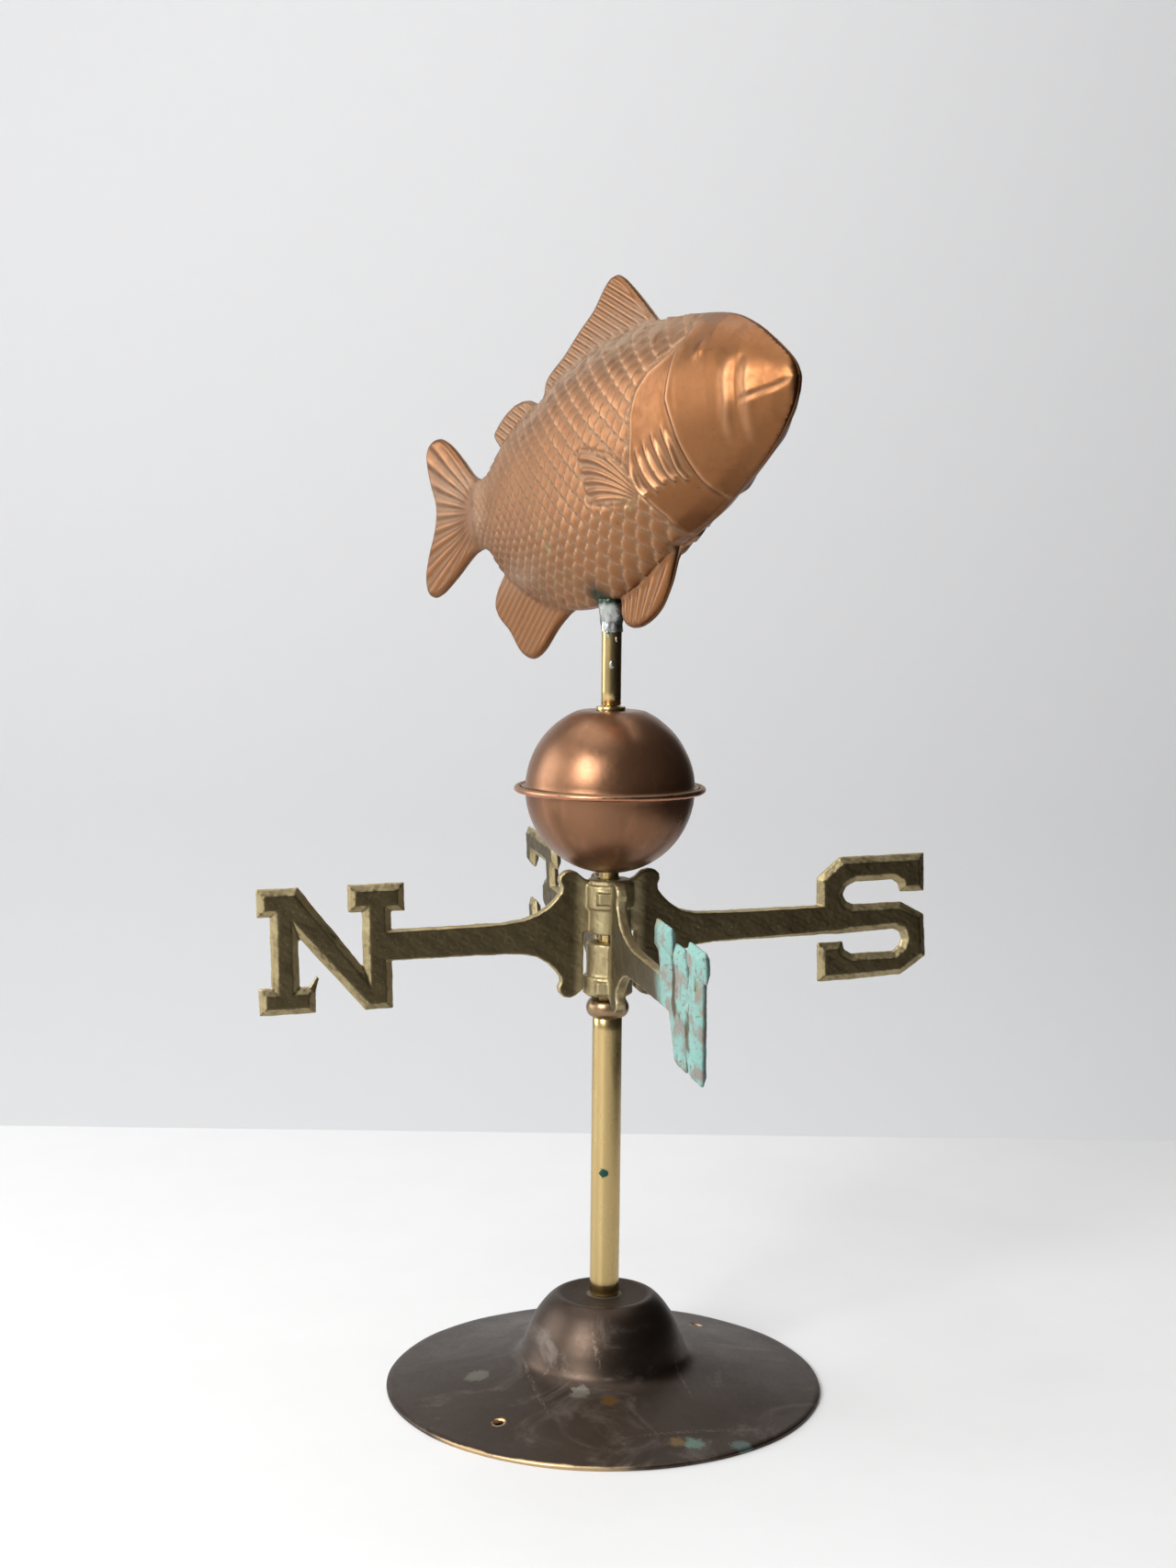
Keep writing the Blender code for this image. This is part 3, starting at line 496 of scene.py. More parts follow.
def lit_rubbed_rim_share(paint):
    """The stretch of the foot's rim, round azimuth 145 towards the window lamp, painted as bright rubbed
    brass: bare brass together with a painted highlight.
    """
    return paint.steps(paint.distance(polar(89.0, 145.0)[:]), 0.030, 0.046, 1.0, 0.0)


def dark_bronze(name, hole_places):
    """Near-black foot: hazy bloom, stains, scratches and a rim rubbed down to the brass, the brass painted
    only towards the window lamp as a painted highlight.
    """
    paint = Paint(name)
    clouds = paint.noise(24.0, 5.0, 0.6, distortion=0.7)
    haze = paint.noise(34.0, 6.0, 0.72, distortion=1.1)
    grain = paint.noise(1.3, 5.0, 0.7)
    colour = paint.blend(clouds, (0.046, 0.032, 0.024), (0.088, 0.064, 0.049))
    colour = paint.tint(colour, (0.170, 0.142, 0.122), haze, 0.50, 0.68, 0.75)
    scratches = (
        (30.0, (0.12, 4.2, 1.0), (0.70, 0.73, 0.0, 0.5), (0.24, 0.20, 0.15)),
        (26.0, (3.6, 0.15, 1.0), (0.71, 0.74, 0.0, 0.4), (0.22, 0.18, 0.14)),
    )
    for size, stretch, limits, bare in scratches:
        lines = paint.steps(paint.noise(size, 2.0, 0.4, paint.stretched(stretch)), *limits)
        colour = paint.blend(paint.times(lines, paint.steps(grain, 0.45, 0.6)), colour, bare)
    radius = paint.distance_from_axis()
    rim_edge_radius = paint.plus(radius, paint.times(paint.noise(9.0), 0.0028))
    # Bright brass only on the rim's lit stretch: rubbed brass together with a painted highlight.
    rim = paint.times(paint.steps(rim_edge_radius, 0.0894, 0.0902), lit_rubbed_rim_share(paint))
    colour = paint.blend(rim, colour, (0.50, 0.36, 0.20))
    ring = paint.steps(paint.plus(radius, paint.times(grain, 0.001)), 0.0068, 0.0082, 1.0, 0.0)
    colour = paint.blend(paint.times(ring, 0.55), colour, (0.34, 0.29, 0.22))
    for place_mm in hole_places:
        near = paint.steps(paint.distance(place_mm), 0.0026, 0.0031, 1.0, 0.0)
        colour = paint.blend(near, colour, (0.62, 0.42, 0.22))
    roughness = paint.plus(paint.steps(haze, 0.4, 0.75, 0.38, 0.56), paint.steps(grain, 0.4, 0.8, 0.0, 0.08))
    normal = paint.bump(grain, 0.14, 0.10)
    matt_top = paint.steps(radius, 0.0165, 0.0195, 0.28, 0.0)
    roughness = paint.plus(roughness, matt_top)
    return paint, colour, roughness, paint.bump(paint.noise(19.0, 2.0), 0.22, 0.45, normal)


def plain_steel(name):
    paint = Paint(name)
    clouds = paint.noise(4.0, 4.0)
    colour = paint.blend(clouds, (0.36, 0.35, 0.34), (0.55, 0.54, 0.52))
    colour = paint.tint(colour, (0.22, 0.13, 0.08), paint.noise(2.0), 0.62, 0.75, 0.5)
    roughness = paint.steps(clouds, 0.3, 0.7, 0.28, 0.45)
    return paint.finish(colour, roughness, paint.bump(paint.noise(0.8), 0.2, 0.06))


def tin_solder(name):
    paint = Paint(name)
    clouds = paint.noise(3.2, 5.0, 0.7)
    colour = paint.blend(clouds, (0.20, 0.21, 0.20), (0.58, 0.59, 0.57))
    colour = paint.tint(colour, (0.10, 0.15, 0.11), paint.noise(2.2, 3.0), 0.55, 0.68, 0.8)
    # The top of the solder, just under the belly, is painted dark green: patina together with painted shade.
    ragged = paint.plus(paint.axis("Object", "Z"), paint.times(clouds, 0.004))
    colour = paint.tint(colour, (0.035, 0.055, 0.038), ragged, 0.3215, 0.3235)
    return paint.finish(colour, paint.steps(clouds, 0.3, 0.7, 0.22, 0.42), paint.bump(clouds, 0.6, 0.3))


# ---------------------------------------------------------------- foot, spindle and globe


def offset_line(points, distance):
    """The open line moved sideways, to the left of its direction of travel."""
    moved = []
    for index, point in enumerate(points):
        before = Vector(points[max(index - 1, 0)])
        after = Vector(points[min(index + 1, len(points) - 1)])
        along = (after - before).normalized()
        moved.append((point[0] - along.y * distance, point[1] + along.x * distance))
    return moved


def foot_outline(radius, crown_top, sheet=1.5, land=4.5):
    brim = [(88.6, 1.6), (76.0, 3.6), (60.0, 6.9), (46.0, 9.6), (38.5, 11.4)]
    crown_side = [(34.9, 13.9), (33.0, 18.0), (31.2, 23.0), (28.6, 28.5)]
    shoulder = [(24.8, 34.0), (21.6, 37.2), (19.4, 38.4), (17.2, crown_top)]
    skin = smooth_stretch(brim + crown_side + shoulder, 4) + [(17.2, crown_top), (ROD_BORE, crown_top)]
    underside = offset_line(skin, sheet)
    underside[-1] = (ROD_BORE, crown_top - sheet)
    underside = [point for point in underside if point[0] < radius - land - 1]
    edge = [(land, 0.0), (0.5, 0.0), (0.15, 0.2), (0.0, 0.7), (0.1, 1.3)]
    return skin + underside[::-1] + [(radius - inwards, height) for inwards, height in edge]


def make_foot():
    high = box_mm("base_flange")[1]
    hole_angles = (SCREW_HOLE_ANGLE, SCREW_HOLE_ANGLE - 180)
    foot = mesh_object("foot_dish", turned(foot_outline(high.x, high.z - 0.4), FINE_STEPS))
    for angle in hole_angles:
        bm = bmesh.new()
        ends = {"radius1": SCREW_HOLE_RADIUS, "radius2": SCREW_HOLE_RADIUS}
        bmesh.ops.create_cone(bm, cap_ends=True, segments=32, depth=20, **ends)
        bmesh.ops.translate(bm, vec=polar(SCREW_HOLE_PITCH, angle, 5), verts=bm.verts)
        boolean(foot, "DIFFERENCE", mesh_object("screw_hole", bm))
    roughen(foot, 0.10, 34.0, 5)
    places = [polar(SCREW_HOLE_PITCH, angle, 5.1)[:] for angle in hole_angles]
    paint, colour, roughness, normal = dark_bronze("foot_bronze", places)
    stains = (
        ((-76.4, -14.9, 3.4), 3.4, (0.17, 0.25, 0.205)),
        ((-44.0, 9.5, 9.8), 2.3, (0.17, 0.095, 0.03)),
        ((-35.3, 19.7, 10.9), 3.2, (0.21, 0.19, 0.16)),
        ((-1.6, 53.4, 8.2), 4.2, (0.16, 0.15, 0.115)),
        ((-74.5, -9.0, 3.7), 2.4, (0.20, 0.13, 0.06)),
        ((-80.0, -33.0, 2.0), 3.4, (0.13, 0.165, 0.145)),
    )
    for point, size, stain in stains:
        colour = spots(paint, colour, stain, [(point, size)], 2.2)
    place(foot, "spindle", "base_flange", paint.finish(colour, roughness, normal))


def make_tube(name, node, body, inner, finish):
    low, high = box_mm(node)
    rows = [low.z + 0.4 + (high.z - low.z - 0.8) * row / 24 for row in range(25)]
    outer = high.x
    outline = [(inner, low.z), (outer - 0.3, low.z)] + [(outer, row) for row in rows]
    outline += [(outer - 0.3, high.z), (inner, high.z)]
    tube = mesh_object(name, turned(outline, TUBE_STEPS))
    roughen(tube, 0.025, 26.0, 11)
    return place(tube, body, node, finish)


def make_bead():
    low, high = box_mm("bead_collar")
    half = (high.z - low.z) / 2
    bulge = [
        (high.x - 2.4 * (1 - math.cos(angle)), low.z + half * (1 + math.sin(angle)))
        for angle in (math.radians(degrees) for degrees in range(-90, 91, 10))
    ]
    bead = mesh_object("round_bead", turned([(ROD_BORE, low.z)] + bulge + [(ROD_BORE, high.z)], TUBE_STEPS))
    roughen(bead, 0.04, 7.0, 12)
    place(bead, "spindle", "bead_collar", bead_bronze("darkened_bead"))


def half_globe(side, seam, radius=34.0, sheet=0.8, lip=35.6):
    """The section of one half: lip, outer skin, hole round the spindle, inner skin."""
    node = "globe_upper_half" if side > 0 else "globe_lower_half"
    low, high = box_mm(node)
    end = (high.z if side > 0 else low.z) - seam
    hole = 5.9 if side > 0 else ROD_BORE
    inner = radius - sheet
    lip_angle = math.degrees(math.asin((0.2 + sheet) / radius))
    last = math.degrees(math.asin(abs(end) / radius))
    inner_last = math.degrees(math.asin((abs(end) - sheet) / inner))
    section = [(lip, 0.2), (lip, 0.2 + sheet), (radius + 0.45, 0.2 + sheet), (radius + 0.08, 1.35)]
    section += arc((0, 0), radius, lip_angle + 1.2, last - 1.2, 22)
    flat = radius * math.cos(math.radians(last)) - 0.6
    section += [(flat, abs(end)), (hole, abs(end)), (hole, abs(end) - sheet)]
    section += arc((0, 0), inner, inner_last, 0.4, 14)
    return [(r, seam + side * level) for r, level in section]


def make_globe():
    low, high = box_mm("globe_rim_bead")
    seam = (low.z + high.z) / 2
    copper = copper_of_globe("globe_skin")
    halves = (
        (1, "globe_top_shell", "globe_upper_half"),
        (-1, "globe_low_shell", "globe_lower_half"),
    )
    for side, name, node in halves:
        shell = mesh_object(name, turned(half_globe(side, seam), FINE_STEPS), 30)
        roughen(shell, 0.07, 17.0, 20 + side)
        place(shell, "spindle", node, copper)
    bead = mesh_object("rolled_rim", turned(arc((high.x - 1.25, seam), 1.25, 0, 345, 23), FINE_STEPS))
    roughen(bead, 0.05, 12.0, 23)
    place(bead, "spindle", "globe_rim_bead", rim_copper("rim_skin", seam))


def make_bush(brass):
    low, high = box_mm("globe_top_bush")
    shank, flange = high.x - 0.3, high.x
    flange_bottom = high.z - 1.3
    outline = [
        (ROD_BORE, low.z),
        (shank - 0.4, low.z),
        (shank, low.z + 0.4),
        (shank, flange_bottom),
        (flange - 0.15, flange_bottom),
        (flange, flange_bottom + 0.15),
        (flange, high.z - 0.35),
        (flange - 0.1, high.z - 0.12),
        (flange - 0.35, high.z),
        (ROD_BORE + 0.2, high.z),
        (ROD_BORE, high.z - 0.2),
    ]
    bush = mesh_object("flanged_bush", turned(outline, TUBE_STEPS), 30)
    place(bush, "spindle", "globe_top_bush", brass)


def solder_lump(bm, centre, outward, size):
    """A flattened drop of solder lying on the tube."""
    made = bmesh.ops.create_icosphere(bm, subdivisions=3, radius=1.0)["verts"]
    turn = outward.to_track_quat("Z", "Y").to_matrix().to_4x4()
    shape = Matrix.Diagonal((size[0], size[1], size[2], 1.0))
    bmesh.ops.transform(bm, matrix=Matrix.Translation(centre) @ turn @ shape, verts=made)


def make_solder(toward_camera):
    low, high = box_mm("solder_fillet")
    inner, bottom, top = 4.05, low.z, high.z
    outline = [
        (inner, bottom - 2.0),
        (inner + 0.12, bottom - 1.9),
        (inner + 0.35, bottom + 1.5),
        (inner + 0.9, top - 3.2),
        (inner + 1.2, top - 1.4),
        (inner + 1.6, top + 0.4),
        (inner + 1.9, top + 2.6),
        (inner + 1.2, top + 4.2),
        (inner, top + 4.4),
    ]
    dense = smooth_stretch(outline, 4) + [outline[-1]]
    bm = turned(dense, 72)
    lumps = (  # degrees from the camera's side, height and size
        (2, 296.2, (1.1, 1.7, 0.55)),
        (-22, 308.4, (0.8, 1.5, 0.4)),
        (30, 306.6, (0.6, 1.3, 0.4)),
    )
    for turn, height, size in lumps:
        outward = polar(1.0, toward_camera + turn)
        solder_lump(bm, outward * 3.95 + Vector((0, 0, height)), outward, size)
    fillet = mesh_object("solder_ring", bm)
    roughen(fillet, 0.28, 4.6, 31)
    place(fillet, "vane", "solder_fillet", tin_solder("bright_solder"))


# ---------------------------------------------------------------- castings

# Letter outlines as (distance from the spindle, height from the arm's middle). Each starts
# where the arm's top edge reaches the letter and ends at the arm's bottom edge.
LETTER_N = [
    (88.4, 6.25), (88.4, 13.4), (83.0, 13.4), (83.0, 24.8), (105.5, 24.8), (105.5, 13.8),
    (100.0, 13.8), (100.0, -8.0), (124.8, 24.8), (141.0, 24.8), (141.0, 13.6), (136.0, 13.6),
    (136.0, -14.5), (141.0, -14.5), (141.0, -25.2), (118.8, -25.2), (118.8, -14.5),
    (125.0, -14.5), (125.0, 5.0), (99.4, -25.2), (88.4, -25.2), (88.4, -6.25),
]  # fmt: skip
LETTER_S = [
    (89.4, 6.25), (89.4, 17.5), (99.5, 25.9), (137.0, 25.9), (137.0, 9.8), (126.2, 9.8),
    (125.4, 13.4), (122.8, 15.1), (106.4, 15.1), (102.2, 13.1), (100.9, 10.2), (102.2, 7.2),
    (105.0, 5.8), (126.5, 5.8), (137.0, 0.0), (137.8, -17.8), (126.5, -25.2), (100.4, -26.0),
    (89.6, -26.0), (89.6, -9.6), (100.6, -9.6), (101.6, -13.2), (104.6, -14.9),
    (123.2, -14.9), (126.0, -12.8), (127.0, -9.8), (126.0, -7.0), (123.2, -5.6),
    (104.0, -6.25), (96.0, -6.25),
]  # fmt: skip
LETTER_E = [
    (86.5, 6.25), (86.5, 14.4), (81.0, 14.4), (81.0, 25.2), (134.0, 25.2), (134.0, 8.0),
    (124.0, 8.0), (122.4, 14.4), (97.0, 14.4), (97.0, 8.6), (105.3, 5.4), (105.3, -5.4),
    (97.0, -8.6), (97.0, -14.4), (122.4, -14.4), (124.0, -8.0), (134.0, -8.0),
    (134.0, -25.2), (81.0, -25.2), (81.0, -14.4), (86.5, -14.4), (86.5, -6.25),
]  # fmt: skip
LETTER_W = [
    (80.6, 6.25), (78.4, 13.5), (74.2, 13.5), (74.2, 25.2), (93.0, 25.2), (93.0, 14.6),
    (91.4, 14.6), (93.4, 3.0), (94.8, 3.0), (98.8, 21.0), (109.4, 21.0), (113.6, 3.0),
    (115.0, 3.0), (117.0, 14.6), (115.4, 14.6), (115.4, 25.2), (134.2, 25.2),
    (134.2, 13.5), (130.2, 13.5), (125.6, -25.2), (113.8, -25.2), (109.4, -9.0),
    (107.8, -9.0), (106.6, -25.2), (96.4, -25.2), (90.2, -6.25),
]  # fmt: skip
# The fork's outer edge, from the arm up to the tip beside the barrel.
FORK_EDGE = [
    (44.5, ARM_HALF_HEIGHT), (36.0, 6.9), (30.0, 8.6), (25.5, 11.4), (22.2, 14.6), (20.2, 17.2),
    (20.0, 19.4), (21.0, 21.6), (20.6, 23.8), (18.8, 25.5), (16.2, 26.0), (13.6, 25.0),
]  # fmt: skip


def mirrored(points):
    return [(radius, -height) for radius, height in reversed(points)]


def side_outline(letter, barrel_side):
    """One arm with its fork and letter; barrel_side is 1 where the barrel is in the upper half."""
    tip = (FORK_INNER, 22.4)
    joined = [(6.2, 20.6), (6.2, 0.6), (FORK_INNER, 0.6)]
    upper = [tip] + joined if barrel_side > 0 else [tip]
    lower = [(FORK_INNER, -22.4)] if barrel_side > 0 else mirrored([tip] + joined)
    return lower + mirrored(FORK_EDGE) + letter[::-1] + FORK_EDGE + upper


def inset(points, widths):
    """The outline moved inwards, edge by edge, each edge by its own width."""
    count = len(points)
    corners = [Vector(point) for point in points]
    area = sum(corners[i - 1].cross(corners[i]) for i in range(count))
    side = 1.0 if area > 0 else -1.0
    moved = []
    for index in range(count):
        before, here, after = corners[index - 1], corners[index], corners[(index + 1) % count]
        first, second = (here - before).normalized(), (after - here).normalized()
        first_normal = side * Vector((-first.y, first.x))
        second_normal = side * Vector((-second.y, second.x))
        first_width, second_width = widths[index - 1], widths[index]
        turn = first.cross(second)
        if abs(turn) < 0.05:
            width = (first_width + second_width) / 2
            moved.append(here + width * (first_normal + second_normal).normalized())
            continue
        start = here + first_normal * first_width
        other = here + second_normal * second_width
        moved.append(start + first * ((other - start).cross(second) / turn))
    return moved


def add_plate(bm, outline, letter_from=72.0):
    """Extrude the outline about its middle plane, with wide bevels on the letter's edges."""
    count = len(outline)
    widths, depths = [], []
    for index in range(count):
        on_letter = min(outline[index][0], outline[(index + 1) % count][0]) > letter_from
        width, depth = LETTER_BEVEL if on_letter else ARM_BEVEL
        widths.append(width)
        depths.append(depth)
    half = CASTING_THICKNESS / 2
    face = inset(outline, widths)
    edge_level = [half - max(depths[index - 1], depths[index]) for index in range(count)]
    rings = []
    for side in (1, -1):
        rim = [bm.verts.new((r, side * level, h)) for (r, h), level in zip(outline, edge_level)]
        flat = [bm.verts.new((corner.x, side * half, corner.y)) for corner in face]
        rings.append((rim, flat))
    (rim, flat), (back_rim, back_flat) = rings
    for first, second in ((rim, flat), (rim, back_rim), (back_rim, back_flat)):
        for index in range(count):
            after = (index + 1) % count
            bm.faces.new((first[index], first[after], second[after], second[index]))
    for loop in (flat, back_flat):
        bm.faces.new(loop)
    bm.normal_update()
    bmesh.ops.triangulate(bm, faces=bm.faces)


def add_burr(bm, points, half):
    """A thin, three-sided scrap of casting flash."""
    front = [bm.verts.new((r, half, h)) for r, h in points]
    back = [bm.verts.new((r, -half, h)) for r, h in points]
    bm.faces.new(front)
    bm.faces.new(back[::-1])
    for index in range(len(points)):
        after = (index + 1) % len(points)
        bm.faces.new((front[after], front[index], back[index], back[after]))


def distort(bm, rise, lean):
    """Swing and twist everything outside the fork, as a sand casting is a little out of true."""
    near, far = FORK_EDGE[4][0], FORK_EDGE[0][0]
    for vert in bm.verts:
        share = min(max((vert.co.x - near) / (far - near), 0.0), 1.0)
        angle = math.radians(rise) * share
        x, z = vert.co.x, vert.co.z
        vert.co.y += z * math.tan(math.radians(lean)) * share
        vert.co.x = x * math.cos(angle) - z * math.sin(angle)
        vert.co.z = z * math.cos(angle) + x * math.sin(angle)


def arm_piece(name, letter, barrel_side, direction, height, rise, lean, burr=None):
    bm = bmesh.new()
    add_plate(bm, side_outline(letter, barrel_side))
    if burr:
        add_burr(bm, burr, 0.8)
    distort(bm, rise, lean)
    turn = Matrix.Rotation(math.radians(direction), 4, "Z")
    bmesh.ops.transform(bm, matrix=Matrix.Translation((0, 0, height)) @ turn, verts=bm.verts)
    return mesh_object(name, bm)


def barrel_piece(name, height, barrel_side, band):
    """The hub: a sleeve with a raised band, tapped for its grub screw."""
    low, high = band
    section = [
        (ROD_BORE, 0.0),
        (BARREL_RADIUS - 0.6, 0.0),
        (BARREL_RADIUS, 0.6),
        (BARREL_RADIUS, low - 0.8),
        (BAND_RADIUS, low),
        (BAND_RADIUS, high),
        (BARREL_RADIUS, high + 0.8),
        (BARREL_RADIUS, BARREL_LENGTH - 0.8),
        (BARREL_RADIUS - 0.8, BARREL_LENGTH),
        (ROD_BORE, BARREL_LENGTH),
    ]
    hub = mesh_object(name, turned([(r, height + barrel_side * level) for r, level in section], 72))
    bm = bmesh.new()
    bmesh.ops.create_cone(bm, cap_ends=True, segments=24, radius1=2.3, radius2=2.3, depth=12)
    outward = polar(1.0, SET_SCREW_ANGLE)
    turn = outward.to_track_quat("Z", "Y").to_matrix().to_4x4()
    middle = outward * 9.0 + Vector((0, 0, height + barrel_side * sum(band) / 2))
    bmesh.ops.transform(bm, matrix=Matrix.Translation(middle) @ turn, verts=bm.verts)
    boolean(hub, "DIFFERENCE", mesh_object(name + "_tapping", bm))
    return hub


def pad_piece(name, facing, height, size):
    """A low rectangular boss on a band, with sloping sides."""
    bm = bmesh.new()
    bmesh.ops.create_cube(bm, size=1.0)
    for vert in bm.verts:
        taper = 0.80 if vert.co.x > 0 else 1.0
        x, y, z = vert.co
        vert.co = (x * size[0], y * size[1] * taper, z * size[2] * taper)
    turn = Matrix.Rotation(math.radians(facing), 4, "Z")
    middle = polar(BAND_RADIUS + size[0] / 2 - 1.0, facing, height)
    bmesh.ops.transform(bm, matrix=Matrix.Translation(middle) @ turn, verts=bm.verts)
    return mesh_object(name, bm)


def joined(name, parts):
    """All the closed pieces as one mesh."""
    bm = bmesh.new()
    for part in parts:
        bm.from_mesh(part.data)
        bpy.data.objects.remove(part)
    mesh = bpy.data.meshes.new(name)
    bm.to_mesh(mesh)
    bm.free()
    return link(name, mesh)


def cast_as_one(obj, seed):
    """Fuse the pieces, round their edges and give them the uneven skin of a sand casting."""
    remesh = obj.modifiers.new("fuse", "REMESH")
    remesh.mode = "VOXEL"
    remesh.voxel_size = CAST_VOXEL * MM
    applied(obj)
    roughen(obj, 0.11, 8.0, seed)
    roughen(obj, 0.05, 2.6, seed + 1)
    thin = obj.modifiers.new("thin_out", "DECIMATE")
    thin.ratio = 0.42
    applied(obj)
    obj.data.shade_smooth()
    return obj


def make_castings(toward_camera):
    scrap = [(118.9, -17.0), (117.4, -11.6), (118.4, -10.4), (121.4, -15.0)]
    north = [
        arm_piece("north_arm", LETTER_N, 1, 90, NORTH_SOUTH_LEVEL, -1.3, 0.0, scrap),
        arm_piece("south_arm", LETTER_S, 1, -90, NORTH_SOUTH_LEVEL, 1.3, 0.0),
        barrel_piece("upper_hub", NORTH_SOUTH_LEVEL, 1, (10.8, 19.6)),
        pad_piece("upper_pad", toward_camera + 2, 203.2, (2.2, 10.5, 5.4)),
    ]
    finish = sand_cast_brass("cast_north_south", "X")
    north_south = cast_as_one(joined("north_south_arms", north), 41)
    place(north_south, "directionals", "north_south_casting", finish)
    east = [
        arm_piece("west_arm", LETTER_W, -1, 179.5, EAST_WEST_LEVEL, -2.3, -3.3),
        arm_piece("east_arm", LETTER_E, -1, 0, EAST_WEST_LEVEL, 2.3, 3.3),
        barrel_piece("lower_hub", EAST_WEST_LEVEL, -1, (13.8, 20.6)),
        pad_piece("lower_pad", toward_camera + 1, 167.0, (2.0, 10.8, 5.8)),
    ]
    finish = sand_cast_brass("cast_east_west", "Y", patina_end=True)
    east_west = cast_as_one(joined("east_west_arms", east), 43)
    place(east_west, "directionals", "east_west_casting", finish)


# ---------------------------------------------------------------- fish

# The fish in its own level frame: (along, up), with the nose at +. Each stretch is a smooth
# curve through its points, and a stretch starts at the corner where the last one ended.
FISH_STRETCHES = [
    # dorsal fin
    [(38.5, 46.4), (27.2, 60.0), (18.5, 69.0), (13.0, 71.2), (7.0, 68.6), (-2.0, 61.8),
     (-12.0, 56.8), (-25.0, 49.6), (-36.5, 44.8), (-41.2, 40.8), (-43.5, 34.0)],
    # second dorsal fin
    [(-43.5, 34.0), (-49.0, 35.0), (-55.3, 37.8), (-63.0, 38.6), (-72.0, 36.4), (-80.2, 32.2),
     (-83.2, 28.4), (-78.6, 22.0)],
    # tail stalk and tail
    [(-78.6, 22.0), (-88.0, 14.8), (-97.0, 13.0)],
    [(-97.0, 13.0), (-104.5, 17.0), (-112.3, 25.4), (-121.0, 33.6), (-129.0, 38.0),
     (-136.4, 37.4), (-140.6, 32.0), (-139.7, 20.4), (-136.4, 8.6), (-139.2, -1.0),
     (-147.0, -12.6), (-150.6, -22.0), (-148.6, -29.0), (-141.0, -30.4), (-126.0, -25.0),
     (-110.0, -17.8), (-98.6, -16.4)],
    [(-98.6, -16.4), (-90.4, -21.8), (-84.7, -29.6)],
    # anal fin
    [(-84.7, -29.6), (-91.6, -35.8), (-94.6, -42.0), (-92.0, -48.2), (-85.0, -55.0),
     (-78.6, -64.0), (-71.0, -68.4), (-62.5, -66.6), (-50.0, -58.6), (-38.0, -52.9)],
    # belly
    [(-38.0, -52.9), (-28.0, -54.4), (-15.0, -54.8), (-1.4, -54.0)],
    # pelvic fin
    [(-1.4, -54.0), (-2.8, -60.2), (0.6, -65.4), (7.0, -66.8), (14.0, -65.6), (22.0, -61.6),
     (29.5, -53.8), (34.0, -46.6), (37.6, -40.2)],
    # throat, chin and lower lip
    [(37.6, -40.2), (47.0, -37.6), (61.0, -33.6), (81.5, -24.6), (95.0, -17.6),
     (106.0, -9.4), (113.2, -1.4), (116.2, 6.4)],
    # snout, forehead and nape
    [(116.2, 6.4), (113.6, 13.4), (106.0, 21.6), (96.0, 30.4), (83.0, 37.6), (62.0, 43.0),
     (38.5, 46.4)],
]  # fmt: skip
BACK_LINE = [
    (-108.0, 12.0), (-97.0, 12.6), (-88.0, 14.8), (-78.6, 21.4), (-62.0, 28.5), (-43.5, 34.2),
    (-25.0, 40.0), (-5.0, 44.0), (15.0, 46.0), (38.5, 46.0), (62.0, 43.0), (83.0, 37.6),
    (96.0, 30.4), (106.0, 21.6), (113.6, 13.4), (116.4, 8.0),
]  # fmt: skip
BELLY_LINE = [
    (-108.0, -15.0), (-98.6, -16.2), (-90.4, -21.8), (-84.7, -29.0), (-70.0, -39.0),
    (-54.0, -47.5), (-38.0, -52.6), (-20.0, -54.8), (-1.4, -54.0), (14.0, -50.2), (28.0, -44.5),
    (47.0, -37.8), (61.0, -33.6), (81.5, -24.6), (95.0, -17.6), (106.0, -9.4), (113.2, -1.4),
    (116.4, 5.0),
]  # fmt: skip
HALF_WIDTHS = [
    (-122.0, 0.0), (-112.0, 2.4), (-100.0, 3.9), (-90.0, 5.4), (-70.0, 8.8), (-45.0, 13.0),
    (-15.0, 17.2), (15.0, 19.8), (38.0, 20.8), (55.0, 20.6), (70.0, 19.2), (84.0, 16.2),
    (96.0, 12.0), (106.0, 7.2), (113.0, 2.8), (116.4, 0.6),
]  # fmt: skip
# Embossed lines, in the same frame
GILL_COVER = [(66.0, 46.0), (66.5, 40.0), (70.2, 31.5), (63.2, 26.2), (53.2, 22.0), (46.4, 16.0),
              (42.8, 8.0), (41.6, 0.5), (39.2, -7.0), (38.2, -14.0), (40.5, -21.5), (45.5, -30.0),
              (46.0, -38.0)]  # fmt: skip
CHEEK = [(71.6, 34.0), (70.6, 29.0), (67.8, 25.4), (66.2, 17.5), (64.2, 8.9), (66.5, -1.4),
         (68.0, -12.2), (69.2, -21.4), (71.5, -30.0)]  # fmt: skip
GILL_RIDGES = [
    [(60.0, 1.8), (62.3, -8.0), (62.6, -16.0), (64.4, -20.6)],
    [(54.0, 0.3), (56.4, -9.6), (57.7, -16.6), (59.6, -19.6)],
    [(48.6, -1.5), (50.6, -10.8), (52.6, -16.8), (54.4, -19.6)],
    [(43.8, -3.6), (45.4, -11.7), (46.9, -17.0), (49.6, -21.6)],
    [(39.6, -7.2), (39.6, -14.6), (40.6, -19.4), (43.4, -22.2)],
]
PECTORAL = [(38.0, -17.0), (34.4, -10.4), (26.6, -4.4), (16.0, -0.6), (6.8, 1.6), (3.9, 0.6),
            (5.6, -7.0), (8.2, -17.4), (17.0, -20.2), (27.0, -21.4), (36.0, -22.6)]  # fmt: skip
SNOUT_FOLD = [(96.4, 19.0), (95.2, 10.0), (94.6, 2.0), (92.0, -7.0), (89.6, -15.0)]
MOUTH = [(94.8, 1.6), (103.3, 3.2), (108.4, 3.9), (114.5, 5.6)]
TAIL_ROOT = (-94.0, -1.5)
PELVIC_TIP = (-3.0, -86.0)
